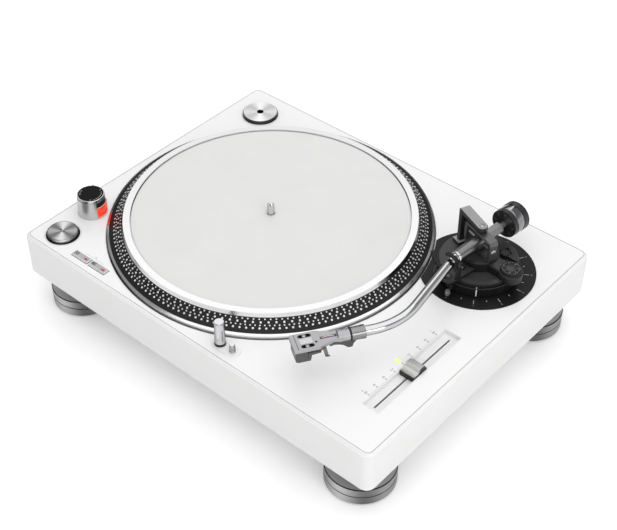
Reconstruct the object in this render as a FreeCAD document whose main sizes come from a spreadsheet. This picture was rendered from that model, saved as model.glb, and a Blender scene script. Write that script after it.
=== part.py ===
import FreeCAD, Part
import os
import re
import Sketcher

# Direct-drive DJ turntable. Millimetres, +Z up, x to the right, y to the back, floor at z = 0.
# Places on the top plane are measured from the cabinet's edges or from the platter's axis.

SIZES = {
    # Cabinet, top panel and bottom cover
    "cabinet_height": 46.5,
    "clearance_below": 41.5,
    "left_margin": 12.4,
    "arm_side_width": 103.2,
    "front_margin": 8.8,
    "rear_margin": 7.8,
    "corner_radius": 9.5,
    "rim_chamfer": 2.2,
    "bottom_chamfer": 0.8,
    "rim_width": 3.4,
    "wall": 3.0,
    "seam_gap": 0.2,
    "seam_radius": 4.5,
    "ledge_width": 2.0,
    "ledge_thickness": 2.5,
    "panel_thickness": 3.0,
    "cover_thickness": 3.0,
    "post_inset": 14.0,
    "post_radius": 3.8,
    "screw_radius": 1.5,
    "screw_length": 14.0,
    "screw_head_radius": 3.2,
    "screw_head_height": 1.8,
    "screw_play": 0.1,
    # Platter, mat, spindle, motor and well
    "platter_radius": 166.0,
    "well_gap": 1.2,
    "well_depth": 12.0,
    "well_floor": 2.0,
    "well_wall": 2.0,
    "well_edge_round": 1.0,
    "platter_drop": 6.0,
    "bead_height": 3.0,
    "bead_setback": 1.8,
    "bead_round": 0.9,
    "bead_width": 4.0,
    "bead_top": 5.0,
    "band_step": 0.2,
    "band_bottom": 5.1,
    "band_width": 9.4,
    "band_top": 12.5,
    "band_wall": 1.0,
    "ring_bevel": 1.5,
    "ring_width": 7.0,
    "ring_top": 16.3,
    "mat_thickness": 2.6,
    "mat_top": 15.0,
    "mat_gap": 0.4,
    "mat_hole_gap": 0.2,
    "platter_wall": 4.5,
    "deck_thickness": 5.0,
    "hub_radius": 14.0,
    "hub_drop": 4.0,
    "spindle_radius": 3.6,
    "shaft_radius": 4.0,
    "spindle_top": 28.0,
    "spindle_tip": 1.4,
    "spindle_taper": 3.0,
    "spindle_drop": 30.0,
    "shaft_play": 0.05,
    "magnet_inner_radius": 50.0,
    "magnet_outer_radius": 58.0,
    "magnet_height": 6.2,
    "stator_radius": 47.0,
    "stator_bore": 16.4,
    "stator_plate": 4.0,
    "coil_count": 9,
    "coil_radius": 6.5,
    "coil_height": 8.0,
    "coil_circle": 36.0,
    "sleeve_flange_radius": 16.0,
    "sleeve_flange": 3.0,
    "sleeve_radius": 9.0,
    "sleeve_top": 2.0,
    "thrust_gap": 0.3,
    "thrust_plate": 3.0,
    # Strobe tower and power dial
    "tower_off_well": 2.69,
    "tower_bearing": -145.555,
    "tower_base_radius": 15.4,
    "tower_top_radius": 14.2,
    "tower_height": 20.6,
    "tower_wall": 2.2,
    "tower_roof": 2.0,
    "window_bearing": 15.0,
    "window_span": 72.0,
    "window_bottom": 1.8,
    "window_top": 19.4,
    "window_play": 1.0,
    "dial_gap": 0.3,
    "dial_radius": 13.9,
    "dial_height": 2.2,
    "dial_chamfer": 0.5,
    "dial_pointer_bearing": 128.0,
    "dial_pointer_radius": 1.3,
    "dial_stem_radius": 3.0,
    "switch_width": 15.0,
    "switch_height": 10.0,
    "switch_reach": 8.0,
    # Start button
    "start_from_left": 31.0,
    "start_from_front": 27.0,
    "start_radius": 15.6,
    "start_height": 4.0,
    "start_chamfer": 0.6,
    "start_travel": 1.5,
    "start_cap": 5.0,
    "surround_radius": 17.2,
    "surround_height": 0.4,
    "surround_depth": 8.0,
    "surround_floor": 1.5,
    "button_gap": 0.35,
    "panel_play": 0.2,
    "plunger_radius": 4.5,
    "plunger_reach": 9.0,
    # Speed buttons and the control board below the buttons
    "speed_from_left": 61.0,
    "speed_from_front": 12.5,
    "speed_width": 21.8,
    "speed_depth": 6.8,
    "speed_pitch": 24.5,
    "speed_height": 1.0,
    "speed_drop": 5.0,
    "speed_travel": 1.0,
    "speed_round": 0.6,
    "board_top": 14.4,
    "board_thickness": 1.6,
    "board_from_left": 19.0,
    "board_from_front": 9.0,
    "board_width": 98.0,
    "board_depth": 34.0,
    "spacer_radius": 2.2,
    "spacer_margin": 3.3,
    "tact_width": 6.0,
    "plunger_play": 1.0,
    "tact_gap": 0.3,
    # Target light and its button
    "light_right_of_platter": 79.9,
    "light_from_front": 17.8,
    "light_base_radius": 5.35,
    "light_top_radius": 4.75,
    "light_height": 28.0,
    "light_drop": 12.0,
    "light_tip": 0.5,
    "release_right_of_light": 15.4,
    "release_radius": 2.7,
    "release_height": 8.5,
    "release_drop": 8.0,
    "release_collar_radius": 4.4,
    "plate_length": 31.0,
    "plate_width": 15.0,
    "plate_rise": 0.3,
    "plate_sunk": 1.0,
    "guide_radius": 7.4,
    "guide_drop": 14.0,
    # 45 adapter and its seat
    "adapter_off_well": 7.676,
    "adapter_bearing": 135.75,
    "adapter_radius": 19.6,
    "adapter_top": 4.0,
    "adapter_chamfer": 0.8,
    "adapter_hole": 3.7,
    "adapter_seat_depth": 8.0,
    "adapter_seat_gap": 0.5,
    "seat_wall": 2.0,
    # Pitch fader
    "fader_from_right": 36.0,
    "fader_from_front": 107.2,
    "tray_width": 18.8,
    "tray_length": 124.0,
    "tray_depth": 4.0,
    "tray_floor": 2.0,
    "tray_lip": 0.9,
    "slot_width": 1.9,
    "slot_margin": 6.0,
    "fader_stop": 3.5,
    "rail_width": 11.0,
    "rail_overhang": 1.0,
    "rail_height": 9.0,
    "channel_width": 5.2,
    "channel_floor": 2.0,
    "carriage_width": 4.6,
    "carriage_length": 10.0,
    "channel_spare": 2.0,
    "carriage_height": 5.0,
    "stem_width": 1.3,
    "stem_length": 5.0,
    "knob_width": 16.0,
    "knob_length": 19.6,
    "knob_ridge": 5.5,
    "knob_ridge_length": 7.6,
    "knob_lip": 1.2,
    "knob_lip_drop": 1.0,
    "scoop_share": 0.25,
    "knob_scoop": 2.0,
    "led_from_fader": 17.4,
    "led_length": 5.6,
    "led_width": 1.9,
    "led_rise": 0.3,
    # Tonearm base
    "pivot_off_well": 47.5,
    "pivot_bearing": 21.85,
    "base_radius": 57.3,
    "base_thickness": 0.9,
    "base_well_gap": 0.9,
    "inner_sleeve_radius": 30.0,
    "inner_sleeve_bore": 26.3,
    "inner_sleeve_top": 11.0,
    "inner_sleeve_drop": 16.0,
    "ring_gap": 0.3,
    "ring_radius": 41.0,
    "ring_rise": 11.5,
    "ring_chamfer": 0.8,
    "platform_radius": 39.0,
    "platform_bottom": 12.0,
    "pin_roof": 3.0,
    "platform_top": 15.5,
    "platform_chamfer": 0.6,
    "stem_radius": 26.0,
    "stem_bore": 20.0,
    "stem_drop": 14.0,
    "boss_radius": 19.0,
    "neck_overlap": 4.0,
    "boss_top": 25.0,
    "boss_round": 2.0,
    "recess_radius": 33.5,
    "recess_floor": 13.5,
    "boss_sink": 1.0,
    "recess_start": -82.0,
    "recess_span": 150.0,
    # Yoke over the pivot
    "yoke_bearing": 156.5,
    "yoke_reach": 32.5,
    "yoke_post": 5.0,
    "yoke_width": 11.0,
    "yoke_top": 56.0,
    "yoke_thickness": 4.0,
    "yoke_end_radius": 5.5,
    "yoke_foot": 3.0,
    "yoke_round": 0.8,
    # Anti-skate housing and dial, height lock lever
    "skate_bearing": -2.0,
    "skate_reach": 37.6,
    "skate_radius": 12.0,
    "skate_neck": 17.0,
    "skate_top": 22.0,
    "skate_round": 1.5,
    "skate_dial_radius": 10.2,
    "skate_dial_top": 25.0,
    "skate_dial_chamfer": 0.8,
    "dial_pin_radius": 3.0,
    "dial_pin_length": 5.0,
    "lock_reach": 26.5,
    "lock_bearing": 50.7,
    "lock_boss_radius": 4.6,
    "lock_pin_radius": 2.0,
    "lock_boss_top": 18.4,
    "lock_arm_bottom": 15.9,
    "lock_arm_top": 17.7,
    "lock_arm_width": 4.6,
    "lock_arm_length": 12.5,
    "lock_arm_bearing": -4.0,
    # Arm rest, clip, lifter and cue lever
    "rest_bearing": -94.5,
    "tongue_bearing": -103.5,
    "tongue_inner": 14.0,
    "tongue_reach": 50.1,
    "tongue_root": 23.0,
    "tongue_tip": 30.0,
    "tongue_rise": 2.5,
    "tongue_round": 8.0,
    "rest_post_reach": 40.7,
    "rest_post_length": 4.0,
    "rest_post_width": 3.0,
    "tube_side_gap": 1.5,
    "cradle_width": 7.5,
    "cradle_thickness": 3.0,
    "cradle_gap": 1.3,
    "clip_hinge_drop": 4.8,
    "clip_eye_radius": 1.9,
    "clip_pin_radius": 1.1,
    "clip_band": 1.6,
    "clip_share": 0.75,
    "clip_room": 2.6,
    "clip_width": 3.5,
    "clip_lip": 1.1,
    "lifter_radius": 46.0,
    "lifter_width": 3.2,
    "lifter_height": 2.5,
    "lifter_top": 27.0,
    "lifter_start": -136.0,
    "lifter_span": 40.0,
    "lifter_post_bearing": -112.0,
    "lifter_post_radius": 1.5,
    "lifter_guide_radius": 3.5,
    "lifter_guide_height": 3.0,
    "lifter_post_bottom": 8.0,
    "cue_offset": 4.6,
    "cue_hinge_reach": 44.0,
    "cue_hinge_height": 9.8,
    "cue_hinge_radius": 1.6,
    "cue_cheek_length": 4.6,
    "cue_cheek_width": 4.0,
    "cue_cheek_bottom": 7.4,
    "cue_arm_width": 2.4,
    "cue_eye_radius": 2.3,
    "cue_arm_reach": 50.4,
    "cue_arm_height": 2.0,
    "cue_knob_bottom": 2.4,
    "cue_knob_top": 8.2,
    "cue_knob_radius": 2.2,
    # Gimbal ring
    "arm_height": 38.0,
    "gimbal_bearing": -20.0,
    "gimbal_width": 42.0,
    "gimbal_rise": 24.0,
    "gimbal_depth": 9.0,
    "neck_spare": 1.0,
    "gimbal_wall": 3.6,
    "gimbal_round": 4.0,
    "gimbal_pin_radius": 1.5,
    "gimbal_pin_reach": 4.0,
    "lower_pin_radius": 3.0,
    "lower_pin_length": 5.5,
    "cross_radius": 3.0,
    "cross_pin_radius": 1.5,
    "cross_gap": 0.3,
    # Tonearm
    "arm_bearing": -95.0,
    "front_sleeve_length": 35.9,
    "front_sleeve_root": 7.0,
    "front_sleeve_end": 5.6,
    "hexagon_width": 10.6,
    "hexagon_turn": 60.0,
    "hexagon_reach": 27.0,
    "rear_shaft_radius": 3.5,
    "rear_shaft_reach": 58.0,
    "tube_radius": 4.75,
    "tube_bore": 3.75,
    "tube_socket": 10.0,
    "first_bend_at": 39.6,
    "first_bend": 14.2,
    "first_bend_radius": 28.0,
    "middle_run": 102.6,
    "second_bend": -42.2,
    "second_bend_radius": 70.0,
    "last_run": 50.6,
    "collar_radius": 6.3,
    "collar_length": 14.6,
    "collar_gap": 1.9,
    "collar_play": 0.1,
    "collar_chamfer": 0.8,
    # Counterweight
    "weight_start": 35.0,
    "force_dial_length": 4.0,
    "force_dial_radius": 14.6,
    "weight_length": 16.8,
    "weight_radius": 15.2,
    "weight_band_length": 9.4,
    "weight_band_radius": 14.7,
    "weight_chamfer": 1.0,
    "weight_play": 0.1,
    # Headshell, cartridge and finger lift
    "headshell_length": 51.0,
    "waist_share": 0.53,
    "headshell_width": 21.0,
    "headshell_waist": 11.0,
    "headshell_rear_width": 12.6,
    "headshell_bottom": -0.6,
    "headshell_thickness": 3.2,
    "headshell_block": 9.0,
    "shoulder_share": 1.5,
    "headshell_block_radius": 5.8,
    "headshell_round": 1.0,
    "headshell_seat_gap": 0.3,
    "plug_radius": 3.7,
    "plug_length": 11.0,
    "screw_slot_width": 2.7,
    "screw_slot_length": 9.5,
    "screw_slot_from_front": 8.5,
    "screw_slot_spacing": 12.7,
    "wire_slot_width": 3.0,
    "wire_slot_length": 15.0,
    "wire_slot_from_rear": 10.0,
    "cartridge_width": 16.4,
    "cartridge_from_front": 1.5,
    "cartridge_length": 15.0,
    "cartridge_height": 14.0,
    "cartridge_bevel": 2.5,
    "cartridge_tail": 8.5,
    "cartridge_tail_height": 6.5,
    "cartridge_corner": 1.0,
    "stylus_from_front": 1.5,
    "stylus_tip": 19.5,
    "stylus_block_height": 3.0,
    "stylus_block_width": 9.0,
    "stylus_block_length": 9.0,
    "cantilever_radius": 0.45,
    "cantilever_taper": 3.0,
    "lift_from_rear": 23.5,
    "lift_width": 3.2,
    "lift_thickness": 1.2,
    "lift_inner": 6.0,
    "lift_reach": 22.0,
    "lift_sag": 2.2,
    # Feet
    "foot_inset_side": 38.7,
    "foot_inset_end": 38.8,
    "foot_radius": 34.0,
    "foot_height": 21.0,
    "foot_top_radius": 33.4,
    "foot_round": 1.4,
    "foot_groove_height": 12.0,
    "foot_groove_width": 1.0,
    "foot_groove_depth": 0.9,
    "foot_ring_radius": 32.9,
    "foot_ring_bottom": 1.8,
    "foot_pad_radius": 30.0,
    "foot_rod_radius": 4.0,
    "foot_rod_length": 15.0,
    "socket_radius": 20.0,
    "socket_gap": 0.3,
    # Boards inside
    "standoff_radius": 3.0,
    "standoff_height": 5.0,
    "main_board_width": 140.0,
    "main_board_depth": 90.0,
    "main_board_right": 15.0,
    "main_board_behind": -5.0,
    "chip_height": 7.0,
    "chip_spread": 4.0,
    "chip_flatness": 3.0,
    "supply_width": 88.0,
    "supply_depth": 56.0,
    "supply_from_right": 108.0,
    "supply_from_rear": 92.0,
    "transformer_width": 34.0,
    "capacitor_place": 0.8,
    "capacitor_share": 3.0,
    "transformer_height": 16.0,
    # Rear terminals and hinge sockets
    "terminal_from_left": 112.0,
    "terminal_width": 150.0,
    "terminal_below_well": 3.5,
    "terminal_rise": 5.0,
    "terminal_depth": 14.0,
    "terminal_wall": 1.6,
    "jack_radius": 4.2,
    "jack_collar_radius": 6.0,
    "jack_length": 9.0,
    "jack_collar_length": 2.25,
    "jack_pitch": 16.0,
    "ground_pitches": 4.0,
    "jack_from_side": 18.0,
    "jack_bore": 1.6,
    "ground_radius": 3.4,
    "inlet_width": 27.0,
    "inlet_margin": 2.3,
    "inlet_depth": 11.0,
    "inlet_wall": 1.5,
    "inlet_from_side": 12.0,
    "inlet_pin_width": 2.0,
    "inlet_pin_height": 4.0,
    "inlet_pin_length": 8.0,
    "inlet_pin_pitch": 7.0,
    "hinge_from_left": 75.0,
    "hinge_from_right": 60.0,
    "hinge_width": 28.0,
    "hinge_height": 22.0,
    "hinge_reach": 15.0,
    "hinge_wall": 2.0,
    "hinge_rise": 6.0,
    "fit_gap": 0.3,
    "slip": 0.1,
}

# Places and sizes that follow from the driving ones
FORMULAS = {
    "bead_radius": "platter_radius - bead_setback",
    "bead_inner_radius": "bead_radius - bead_width",
    "band_outer_radius": "bead_inner_radius - band_step",
    "band_inner_radius": "band_outer_radius - band_width",
    "ring_outer_radius": "band_inner_radius - ring_bevel",
    "mat_seat_radius": "ring_outer_radius - ring_width",
    "mat_radius": "mat_seat_radius - mat_gap",
    "well_radius": "platter_radius + well_gap",
    "body_width": "left_margin + 2 * well_radius + arm_side_width",
    "body_depth": "front_margin + 2 * well_radius + rear_margin",
    "left": "-body_width / 2",
    "right": "body_width / 2",
    "front": "-(body_depth + hinge_reach) / 2",
    "rear": "front + body_depth",
    "top": "clearance_below + cabinet_height",
    "inner_floor": "clearance_below + cover_thickness",
    "panel_underside": "top - panel_thickness",
    "platter_x": "left + left_margin + well_radius",
    "platter_y": "front + front_margin + well_radius",
    "tower_reach": "well_radius + tower_off_well + tower_base_radius",
    "tower_x": "platter_x + tower_reach * cos(tower_bearing)",
    "tower_y": "platter_y + tower_reach * sin(tower_bearing)",
    "start_x": "left + start_from_left",
    "start_y": "front + start_from_front",
    "speed_x": "left + speed_from_left",
    "speed_y": "front + speed_from_front",
    "light_x": "platter_x + light_right_of_platter",
    "light_y": "front + light_from_front",
    "release_x": "light_x + release_right_of_light",
    "adapter_reach": "well_radius + adapter_off_well + adapter_radius",
    "adapter_x": "platter_x + adapter_reach * cos(adapter_bearing)",
    "adapter_y": "platter_y + adapter_reach * sin(adapter_bearing)",
    "fader_x": "right - fader_from_right",
    "fader_y": "front + fader_from_front",
    "pivot_x": "platter_x + (well_radius + pivot_off_well) * cos(pivot_bearing)",
    "pivot_y": "platter_y + (well_radius + pivot_off_well) * sin(pivot_bearing)",
    "arm_z": "top + arm_height",
    "slot_length": "tray_length - 2 * slot_margin",
    "rail_length": "tray_length + 2 * rail_overhang",
    "fader_travel": "(slot_length - stem_length) / 2 - fader_stop",
    "middle_bearing": "arm_bearing + first_bend",
    "last_bearing": "middle_bearing + second_bend",
    "first_bend_x": "pivot_x + first_bend_at * cos(arm_bearing)",
    "first_bend_y": "pivot_y + first_bend_at * sin(arm_bearing)",
    "second_bend_x": "first_bend_x + middle_run * cos(middle_bearing)",
    "second_bend_y": "first_bend_y + middle_run * sin(middle_bearing)",
    "tube_end_x": "second_bend_x + last_run * cos(last_bearing)",
    "tube_end_y": "second_bend_y + last_run * sin(last_bearing)",
    "board_z": "inner_floor + standoff_height",
    "cradle_z": "arm_height - tube_radius - cradle_gap",
    "terminal_height": "cabinet_height - well_depth - well_floor - terminal_below_well - terminal_rise",
    "inlet_height": "terminal_height - 2 * inlet_margin",
}

document = FreeCAD.newDocument("DJTurntable")
sheet = document.addObject("Spreadsheet::Sheet", "Sizes")
for row, (alias, number) in enumerate(SIZES.items(), start=1):
    sheet.set(f"A{row}", alias)
    sheet.set(f"B{row}", str(number))
    sheet.setAlias(f"B{row}", alias)
document.recompute()

NODES = {}


FULL_TURN = 360
QUARTER_TURN = 90
HEXAGON_SIDES = 6


def vector(x, y, z=0.0):
    return FreeCAD.Vector(x, y, z)


def cells(text):
    """Spell a formula out in cells of the sheet."""

    def spell(match):
        word = match.group()
        if word in FORMULAS:
            return "(" + cells(FORMULAS[word]) + ")"
        return "Sizes." + word if word in SIZES else word

    return re.sub(r"[A-Za-z_]\w*", spell, str(text))


def value(text):
    """The number that a formula has now."""
    return float(sheet.evalExpression(cells(text)))


def bind(thing, prop, text):
    thing.setExpression(prop, cells(text))


def place(thing, x=0, y=0, z=0, bearing=None, tilt=None):
    """Bind a placement: a turn about Z by a bearing, or about another axis by a tilt (axis, angle)."""
    if tilt is None and bearing is not None:
        tilt = (vector(0, 0, 1), bearing)
    if tilt is not None:
        axis, angle = tilt
        thing.Placement = FreeCAD.Placement(vector(0, 0), FreeCAD.Rotation(axis, value(angle)))
    for letter, text in zip("xyz", (x, y, z)):
        bind(thing, "Placement.Base." + letter, text)
    if tilt is not None:
        bind(thing, "Placement.Rotation.Angle", tilt[1])


def node(name, thing):
    """Name a finished piece: its label names its file."""
    thing.Label = name
    NODES[name] = thing
    return thing


def new_body(name):
    body = document.addObject("PartDesign::Body", "Body_" + name)
    return node(name, body)


def outline_sketch(body, role, outline):
    """A closed outline of straight lines in one of the body's planes, each corner bound to the sheet."""
    sketch = body.newObject("Sketcher::SketchObject", "Outline")
    plane = next(part for part in body.Origin.OriginFeatures if part.Role == role)
    sketch.AttachmentSupport = [(plane, "")]
    sketch.MapMode = "FlatFace"
    corners = [(value(across), value(up)) for across, up in outline]
    count = len(corners)
    for index in range(count):
        start = vector(*corners[index])
        end = vector(*corners[(index + 1) % count])
        sketch.addGeometry(Part.LineSegment(start, end), False)
    for index in range(count):
        sketch.addConstraint(Sketcher.Constraint("Coincident", index, 2, (index + 1) % count, 1))
    for index in range(count):
        for letter, axis in (("X", 0), ("Y", 1)):
            kind = "Distance" + letter
            label = letter.lower() + str(index)
            number = sketch.addConstraint(Sketcher.Constraint(kind, -1, 1, index, 1, corners[index][axis]))
            sketch.renameConstraint(number, label)
            bind(sketch, "Constraints." + label, outline[index][axis])
    return sketch


def turned(name, outline, x=0, y=0, z=0, angle=FULL_TURN, start=None):
    """A piece turned about the vertical: the outline holds (radius, height)."""
    body = new_body(name)
    add_turned(body, outline, angle)
    place(body, x, y, z, bearing=start)
    return body


def add_turned(body, outline, angle=FULL_TURN, axis="V_Axis", kind="Revolution"):
    sketch = outline_sketch(body, "XZ_Plane", outline)
    feature = body.newObject("PartDesign::" + kind, "Turned")
    feature.Profile = sketch
    feature.ReferenceAxis = (sketch, [axis])
    bind(feature, "Angle", angle)
    document.recompute()
    return feature


def lathed(name, outline, x, y, z, bearing):
    """A piece turned about a level line that points along the bearing: the outline holds (along, radius)."""
    body = new_body(name)
    add_turned(body, outline, axis="H_Axis")
    place(body, x, y, z, bearing=bearing)
    return body


def add_padded(body, outline, length, role="XY_Plane", midplane=False):
    sketch = outline_sketch(body, role, outline)
    pad = body.newObject("PartDesign::Pad", "Pad")
    pad.Profile = sketch
    bind(pad, "Length", length)
    if midplane:
        pad.SideType = "Symmetric"
    document.recompute()
    return pad


def add(body, kind, x=0, y=0, z=0, bearing=None, tilt=None, **sizes):
    """Add or cut a box, cylinder or cone in a body, such as kind AdditiveBox."""
    feature = body.newObject("PartDesign::" + kind, kind)
    for prop, text in sizes.items():
        bind(feature, prop, text)
    place(feature, x, y, z, bearing, tilt)
    document.recompute()
    return feature


def add_centred_box(body, kind, x, y, z, width, depth, height, bearing=None):
    """A box centred on x and y, standing on z."""
    if bearing is None:
        corner = (f"{x} - ({width}) / 2", f"{y} - ({depth}) / 2")
    else:
        corner = (
            f"{x} - ({width}) / 2 * cos({bearing}) + ({depth}) / 2 * sin({bearing})",
            f"{y} - ({width}) / 2 * sin({bearing}) - ({depth}) / 2 * cos({bearing})",
        )
    return add(body, kind, *corner, z, bearing, Length=width, Width=depth, Height=height)


def edges_of(body, test):
    shape = body.Tip.Shape
    return [f"Edge{index}" for index, edge in enumerate(shape.Edges, start=1) if test(edge)]


def dress(body, kind, size, test):
    """Round or bevel the edges of a body that pass the test."""
    base = body.Tip
    names = edges_of(body, test)
    if not names:
        raise ValueError("no edge to dress on " + body.Label)
    feature = body.newObject("PartDesign::" + kind, kind)
    feature.Base = (base, names)
    bind(feature, "Radius" if kind == "Fillet" else "Size", size)
    document.recompute()
    if "Invalid" in feature.State:
        raise ValueError(f"the {kind.lower()} of {size} on {body.Label} failed")
    return feature


def near(first, second, reach=0.02):
    return abs(first - second) < reach


def upright(edge):
    """A straight vertical edge."""
    if edge.Curve.TypeId != "Part::GeomLine":
        return False
    return near(abs(edge.tangentAt(edge.FirstParameter).z), 1)


def upright_at(*places, reach=0.5):
    """A test for vertical edges at the given places (x, y)."""
    spots = [(value(x), value(y)) for x, y in places]

    def test(edge):
        if not upright(edge):
            return False
        spot = edge.Vertexes[0].Point
        return any(near(spot.x, x, reach) and near(spot.y, y, reach) for x, y in spots)

    return test


def circle_at(radius, height):
    """A test for level circles or arcs of a radius at a height."""
    wanted, level = value(radius), value(height)

    def test(edge):
        curve = edge.Curve
        if curve.TypeId != "Part::GeomCircle":
            return False
        return near(curve.Radius, wanted) and near(curve.Center.z, level) and near(abs(curve.Axis.z), 1)

    return test


def level_at(height):
    """A test for edges that lie wholly at a height."""
    level = value(height)

    def test(edge):
        box = edge.BoundBox
        return near(box.ZMin, level) and near(box.ZMax, level)

    return test


def outer_edge_at(height):
    """A test for the level edges round the outside of the cabinet."""
    level = level_at(height)
    left, right, front, rear = (value(side) for side in ("left", "right", "front", "rear"))

    def test(edge):
        box = edge.BoundBox
        outside = near(box.XMin, left) or near(box.XMax, right)
        return level(edge) and (outside or near(box.YMin, front) or near(box.YMax, rear))

    return test


def primitive(kind, name, x=0, y=0, z=0, bearing=None, tilt=None, **sizes):
    """A Part primitive such as Part::Cylinder, bound to the sheet."""
    thing = document.addObject("Part::" + kind, name)
    for prop, text in sizes.items():
        bind(thing, prop, text)
    place(thing, x, y, z, bearing, tilt)
    return thing


def fused(name, things):
    union = document.addObject("Part::MultiFuse", "Fuse_" + name)
    union.Shapes = things
    return union


def grouped(name, things):
    """Alike pieces that share a node, as separate solids."""
    group = document.addObject("Part::Compound", "Group_" + name)
    group.Links = things
    return node(name, group)


def cut(name, base, tool):
    difference = document.addObject("Part::Cut", "Cut_" + name)
    difference.Base = base
    difference.Tool = tool
    return difference


def corner_places(inset_x, inset_y):
    """The four corners of the cabinet's plan, moved in by the insets."""
    across = (f"left + {inset_x}", f"right - ({inset_x})")
    back = (f"front + {inset_y}", f"rear - ({inset_y})")
    return [(x, y) for x in across for y in back]


CORNERS = {
    "front_left": ("left + foot_inset_side", "front + foot_inset_end"),
    "front_right": ("right - foot_inset_side", "front + foot_inset_end"),
    "rear_left": ("left + foot_inset_side", "rear - foot_inset_end"),
    "rear_right": ("right - foot_inset_side", "rear - foot_inset_end"),
}


# Cabinet shell


def add_inset_box(body, kind, inset, z, height):
    """A box over the whole cabinet's plan, moved in by an inset all round."""
    return add(
        body,
        kind,
        f"left + {inset}",
        f"front + {inset}",
        z,
        Length=f"body_width - 2 * ({inset})",
        Width=f"body_depth - 2 * ({inset})",
        Height=height,
    )


def terminal_opening(body, inset, depth):
    """Cut the rear wall for the recessed terminal panel."""
    return add(
        body,
        "SubtractiveBox",
        f"left + terminal_from_left - ({inset})",
        f"rear - ({depth})",
        f"clearance_below + terminal_rise - ({inset})",
        Length=f"terminal_width + 2 * ({inset})",
        Width=f"{depth}",
        Height=f"terminal_height + 2 * ({inset})",
    )


HINGES = ("left + hinge_from_left", "right - hinge_from_right")


def build_cabinet():
    body = new_body("cabinet")
    add_inset_box(body, "AdditiveBox", "0", "clearance_below", "cabinet_height")
    dress(body, "Fillet", "corner_radius", upright)
    add_inset_box(body, "SubtractiveBox", "rim_width", "panel_underside", "panel_thickness")
    dress(body, "Fillet", "seam_radius", upright_at(*corner_places("rim_width", "rim_width")))
    ledge = "rim_width + ledge_width"
    add_inset_box(body, "SubtractiveBox", ledge, "clearance_below", "cabinet_height")
    under_ledge = "cabinet_height - panel_thickness - ledge_thickness"
    add_inset_box(body, "SubtractiveBox", "wall", "clearance_below", under_ledge)
    dress(body, "Fillet", "corner_radius - wall", upright_at(*corner_places("wall", "wall")))
    terminal_opening(body, "0", "wall")
    for hinge in HINGES:
        add_centred_box(
            body,
            "SubtractiveBox",
            hinge,
            "rear - wall / 2",
            "clearance_below + hinge_rise",
            "hinge_width",
            "wall",
            "hinge_height",
        )
    dress(body, "Chamfer", "rim_chamfer", outer_edge_at("top"))
    dress(body, "Chamfer", "bottom_chamfer", outer_edge_at("clearance_below"))


def build_top_panel():
    body = new_body("top_panel")
    inset = "rim_width + seam_gap"
    add_inset_box(body, "AdditiveBox", inset, "panel_underside", "panel_thickness")
    dress(body, "Fillet", "seam_radius - seam_gap", upright)
    pan_bottom = "top - well_depth - well_floor"
    add(
        body,
        "AdditiveCylinder",
        "platter_x",
        "platter_y",
        pan_bottom,
        Radius="well_radius + well_wall",
        Height="well_depth + well_floor - panel_thickness",
    )
    seat_radius = "adapter_radius + adapter_seat_gap"
    add(
        body,
        "AdditiveCylinder",
        "adapter_x",
        "adapter_y",
        "top - adapter_seat_depth - seat_wall",
        Radius=f"{seat_radius} + seat_wall",
        Height="adapter_seat_depth + seat_wall - panel_thickness",
    )
    for x, y in corner_places("post_inset", "post_inset"):
        add(
            body,
            "AdditiveCylinder",
            x,
            y,
            "inner_floor",
            Radius="post_radius",
            Height="panel_underside - inner_floor",
        )
        add(
            body,
            "SubtractiveCylinder",
            x,
            y,
            "inner_floor",
            Radius="screw_radius + screw_play",
            Height="screw_length",
        )
    add(
        body,
        "SubtractiveCylinder",
        "platter_x",
        "platter_y",
        "top - well_depth",
        Radius="well_radius",
        Height="well_depth",
    )
    dress(body, "Fillet", "well_edge_round", circle_at("well_radius", "top"))
    add(
        body,
        "SubtractiveCylinder",
        "adapter_x",
        "adapter_y",
        "top - adapter_seat_depth",
        Radius=seat_radius,
        Height="adapter_seat_depth",
    )
    through = "well_depth + well_floor + panel_thickness"
    holes = [
        ("platter_x", "platter_y", "sleeve_radius + fit_gap"),
        ("tower_x", "tower_y", "dial_stem_radius + fit_gap"),
        ("start_x", "start_y", "surround_radius + panel_play"),
        ("light_x", "light_y", "guide_radius + panel_play"),
        ("release_x", "light_y", "release_collar_radius + panel_play"),
        ("pivot_x", "pivot_y", "inner_sleeve_radius + fit_gap"),
    ]
    for x, y, radius in holes:
        add(body, "SubtractiveCylinder", x, y, f"top - ({through})", Radius=radius, Height=through)
    for index in range(2):
        add(
            body,
            "SubtractiveBox",
            f"speed_x + {index} * speed_pitch - button_gap",
            "speed_y - button_gap",
            "panel_underside",
            Length="speed_width + 2 * button_gap",
            Width="speed_depth + 2 * button_gap",
            Height="panel_thickness",
        )
    plate_x = "light_x + release_right_of_light / 2"
    add_centred_box(
        body,
        "SubtractiveBox",
        plate_x,
        "light_y",
        "top - plate_sunk",
        "plate_length - plate_width + 2 * panel_play",
        "plate_width + 2 * panel_play",
        "plate_sunk",
    )
    for side in ("-", "+"):
        add(
            body,
            "SubtractiveCylinder",
            f"{plate_x} {side} (plate_length - plate_width) / 2",
            "light_y",
            "top - plate_sunk",
            Radius="plate_width / 2 + panel_play",
            Height="plate_sunk",
        )
    add_centred_box(
        body,
        "SubtractiveBox",
        "fader_x",
        "fader_y",
        "panel_underside",
        "tray_width + 2 * slip",
        "tray_length + 2 * slip",
        "panel_thickness",
    )
    add_centred_box(
        body,
        "SubtractiveBox",
        "fader_x - led_from_fader",
        "fader_y",
        "panel_underside",
        "led_length + 2 * slip",
        "led_width + 2 * slip",
        "panel_thickness",
    )


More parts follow.
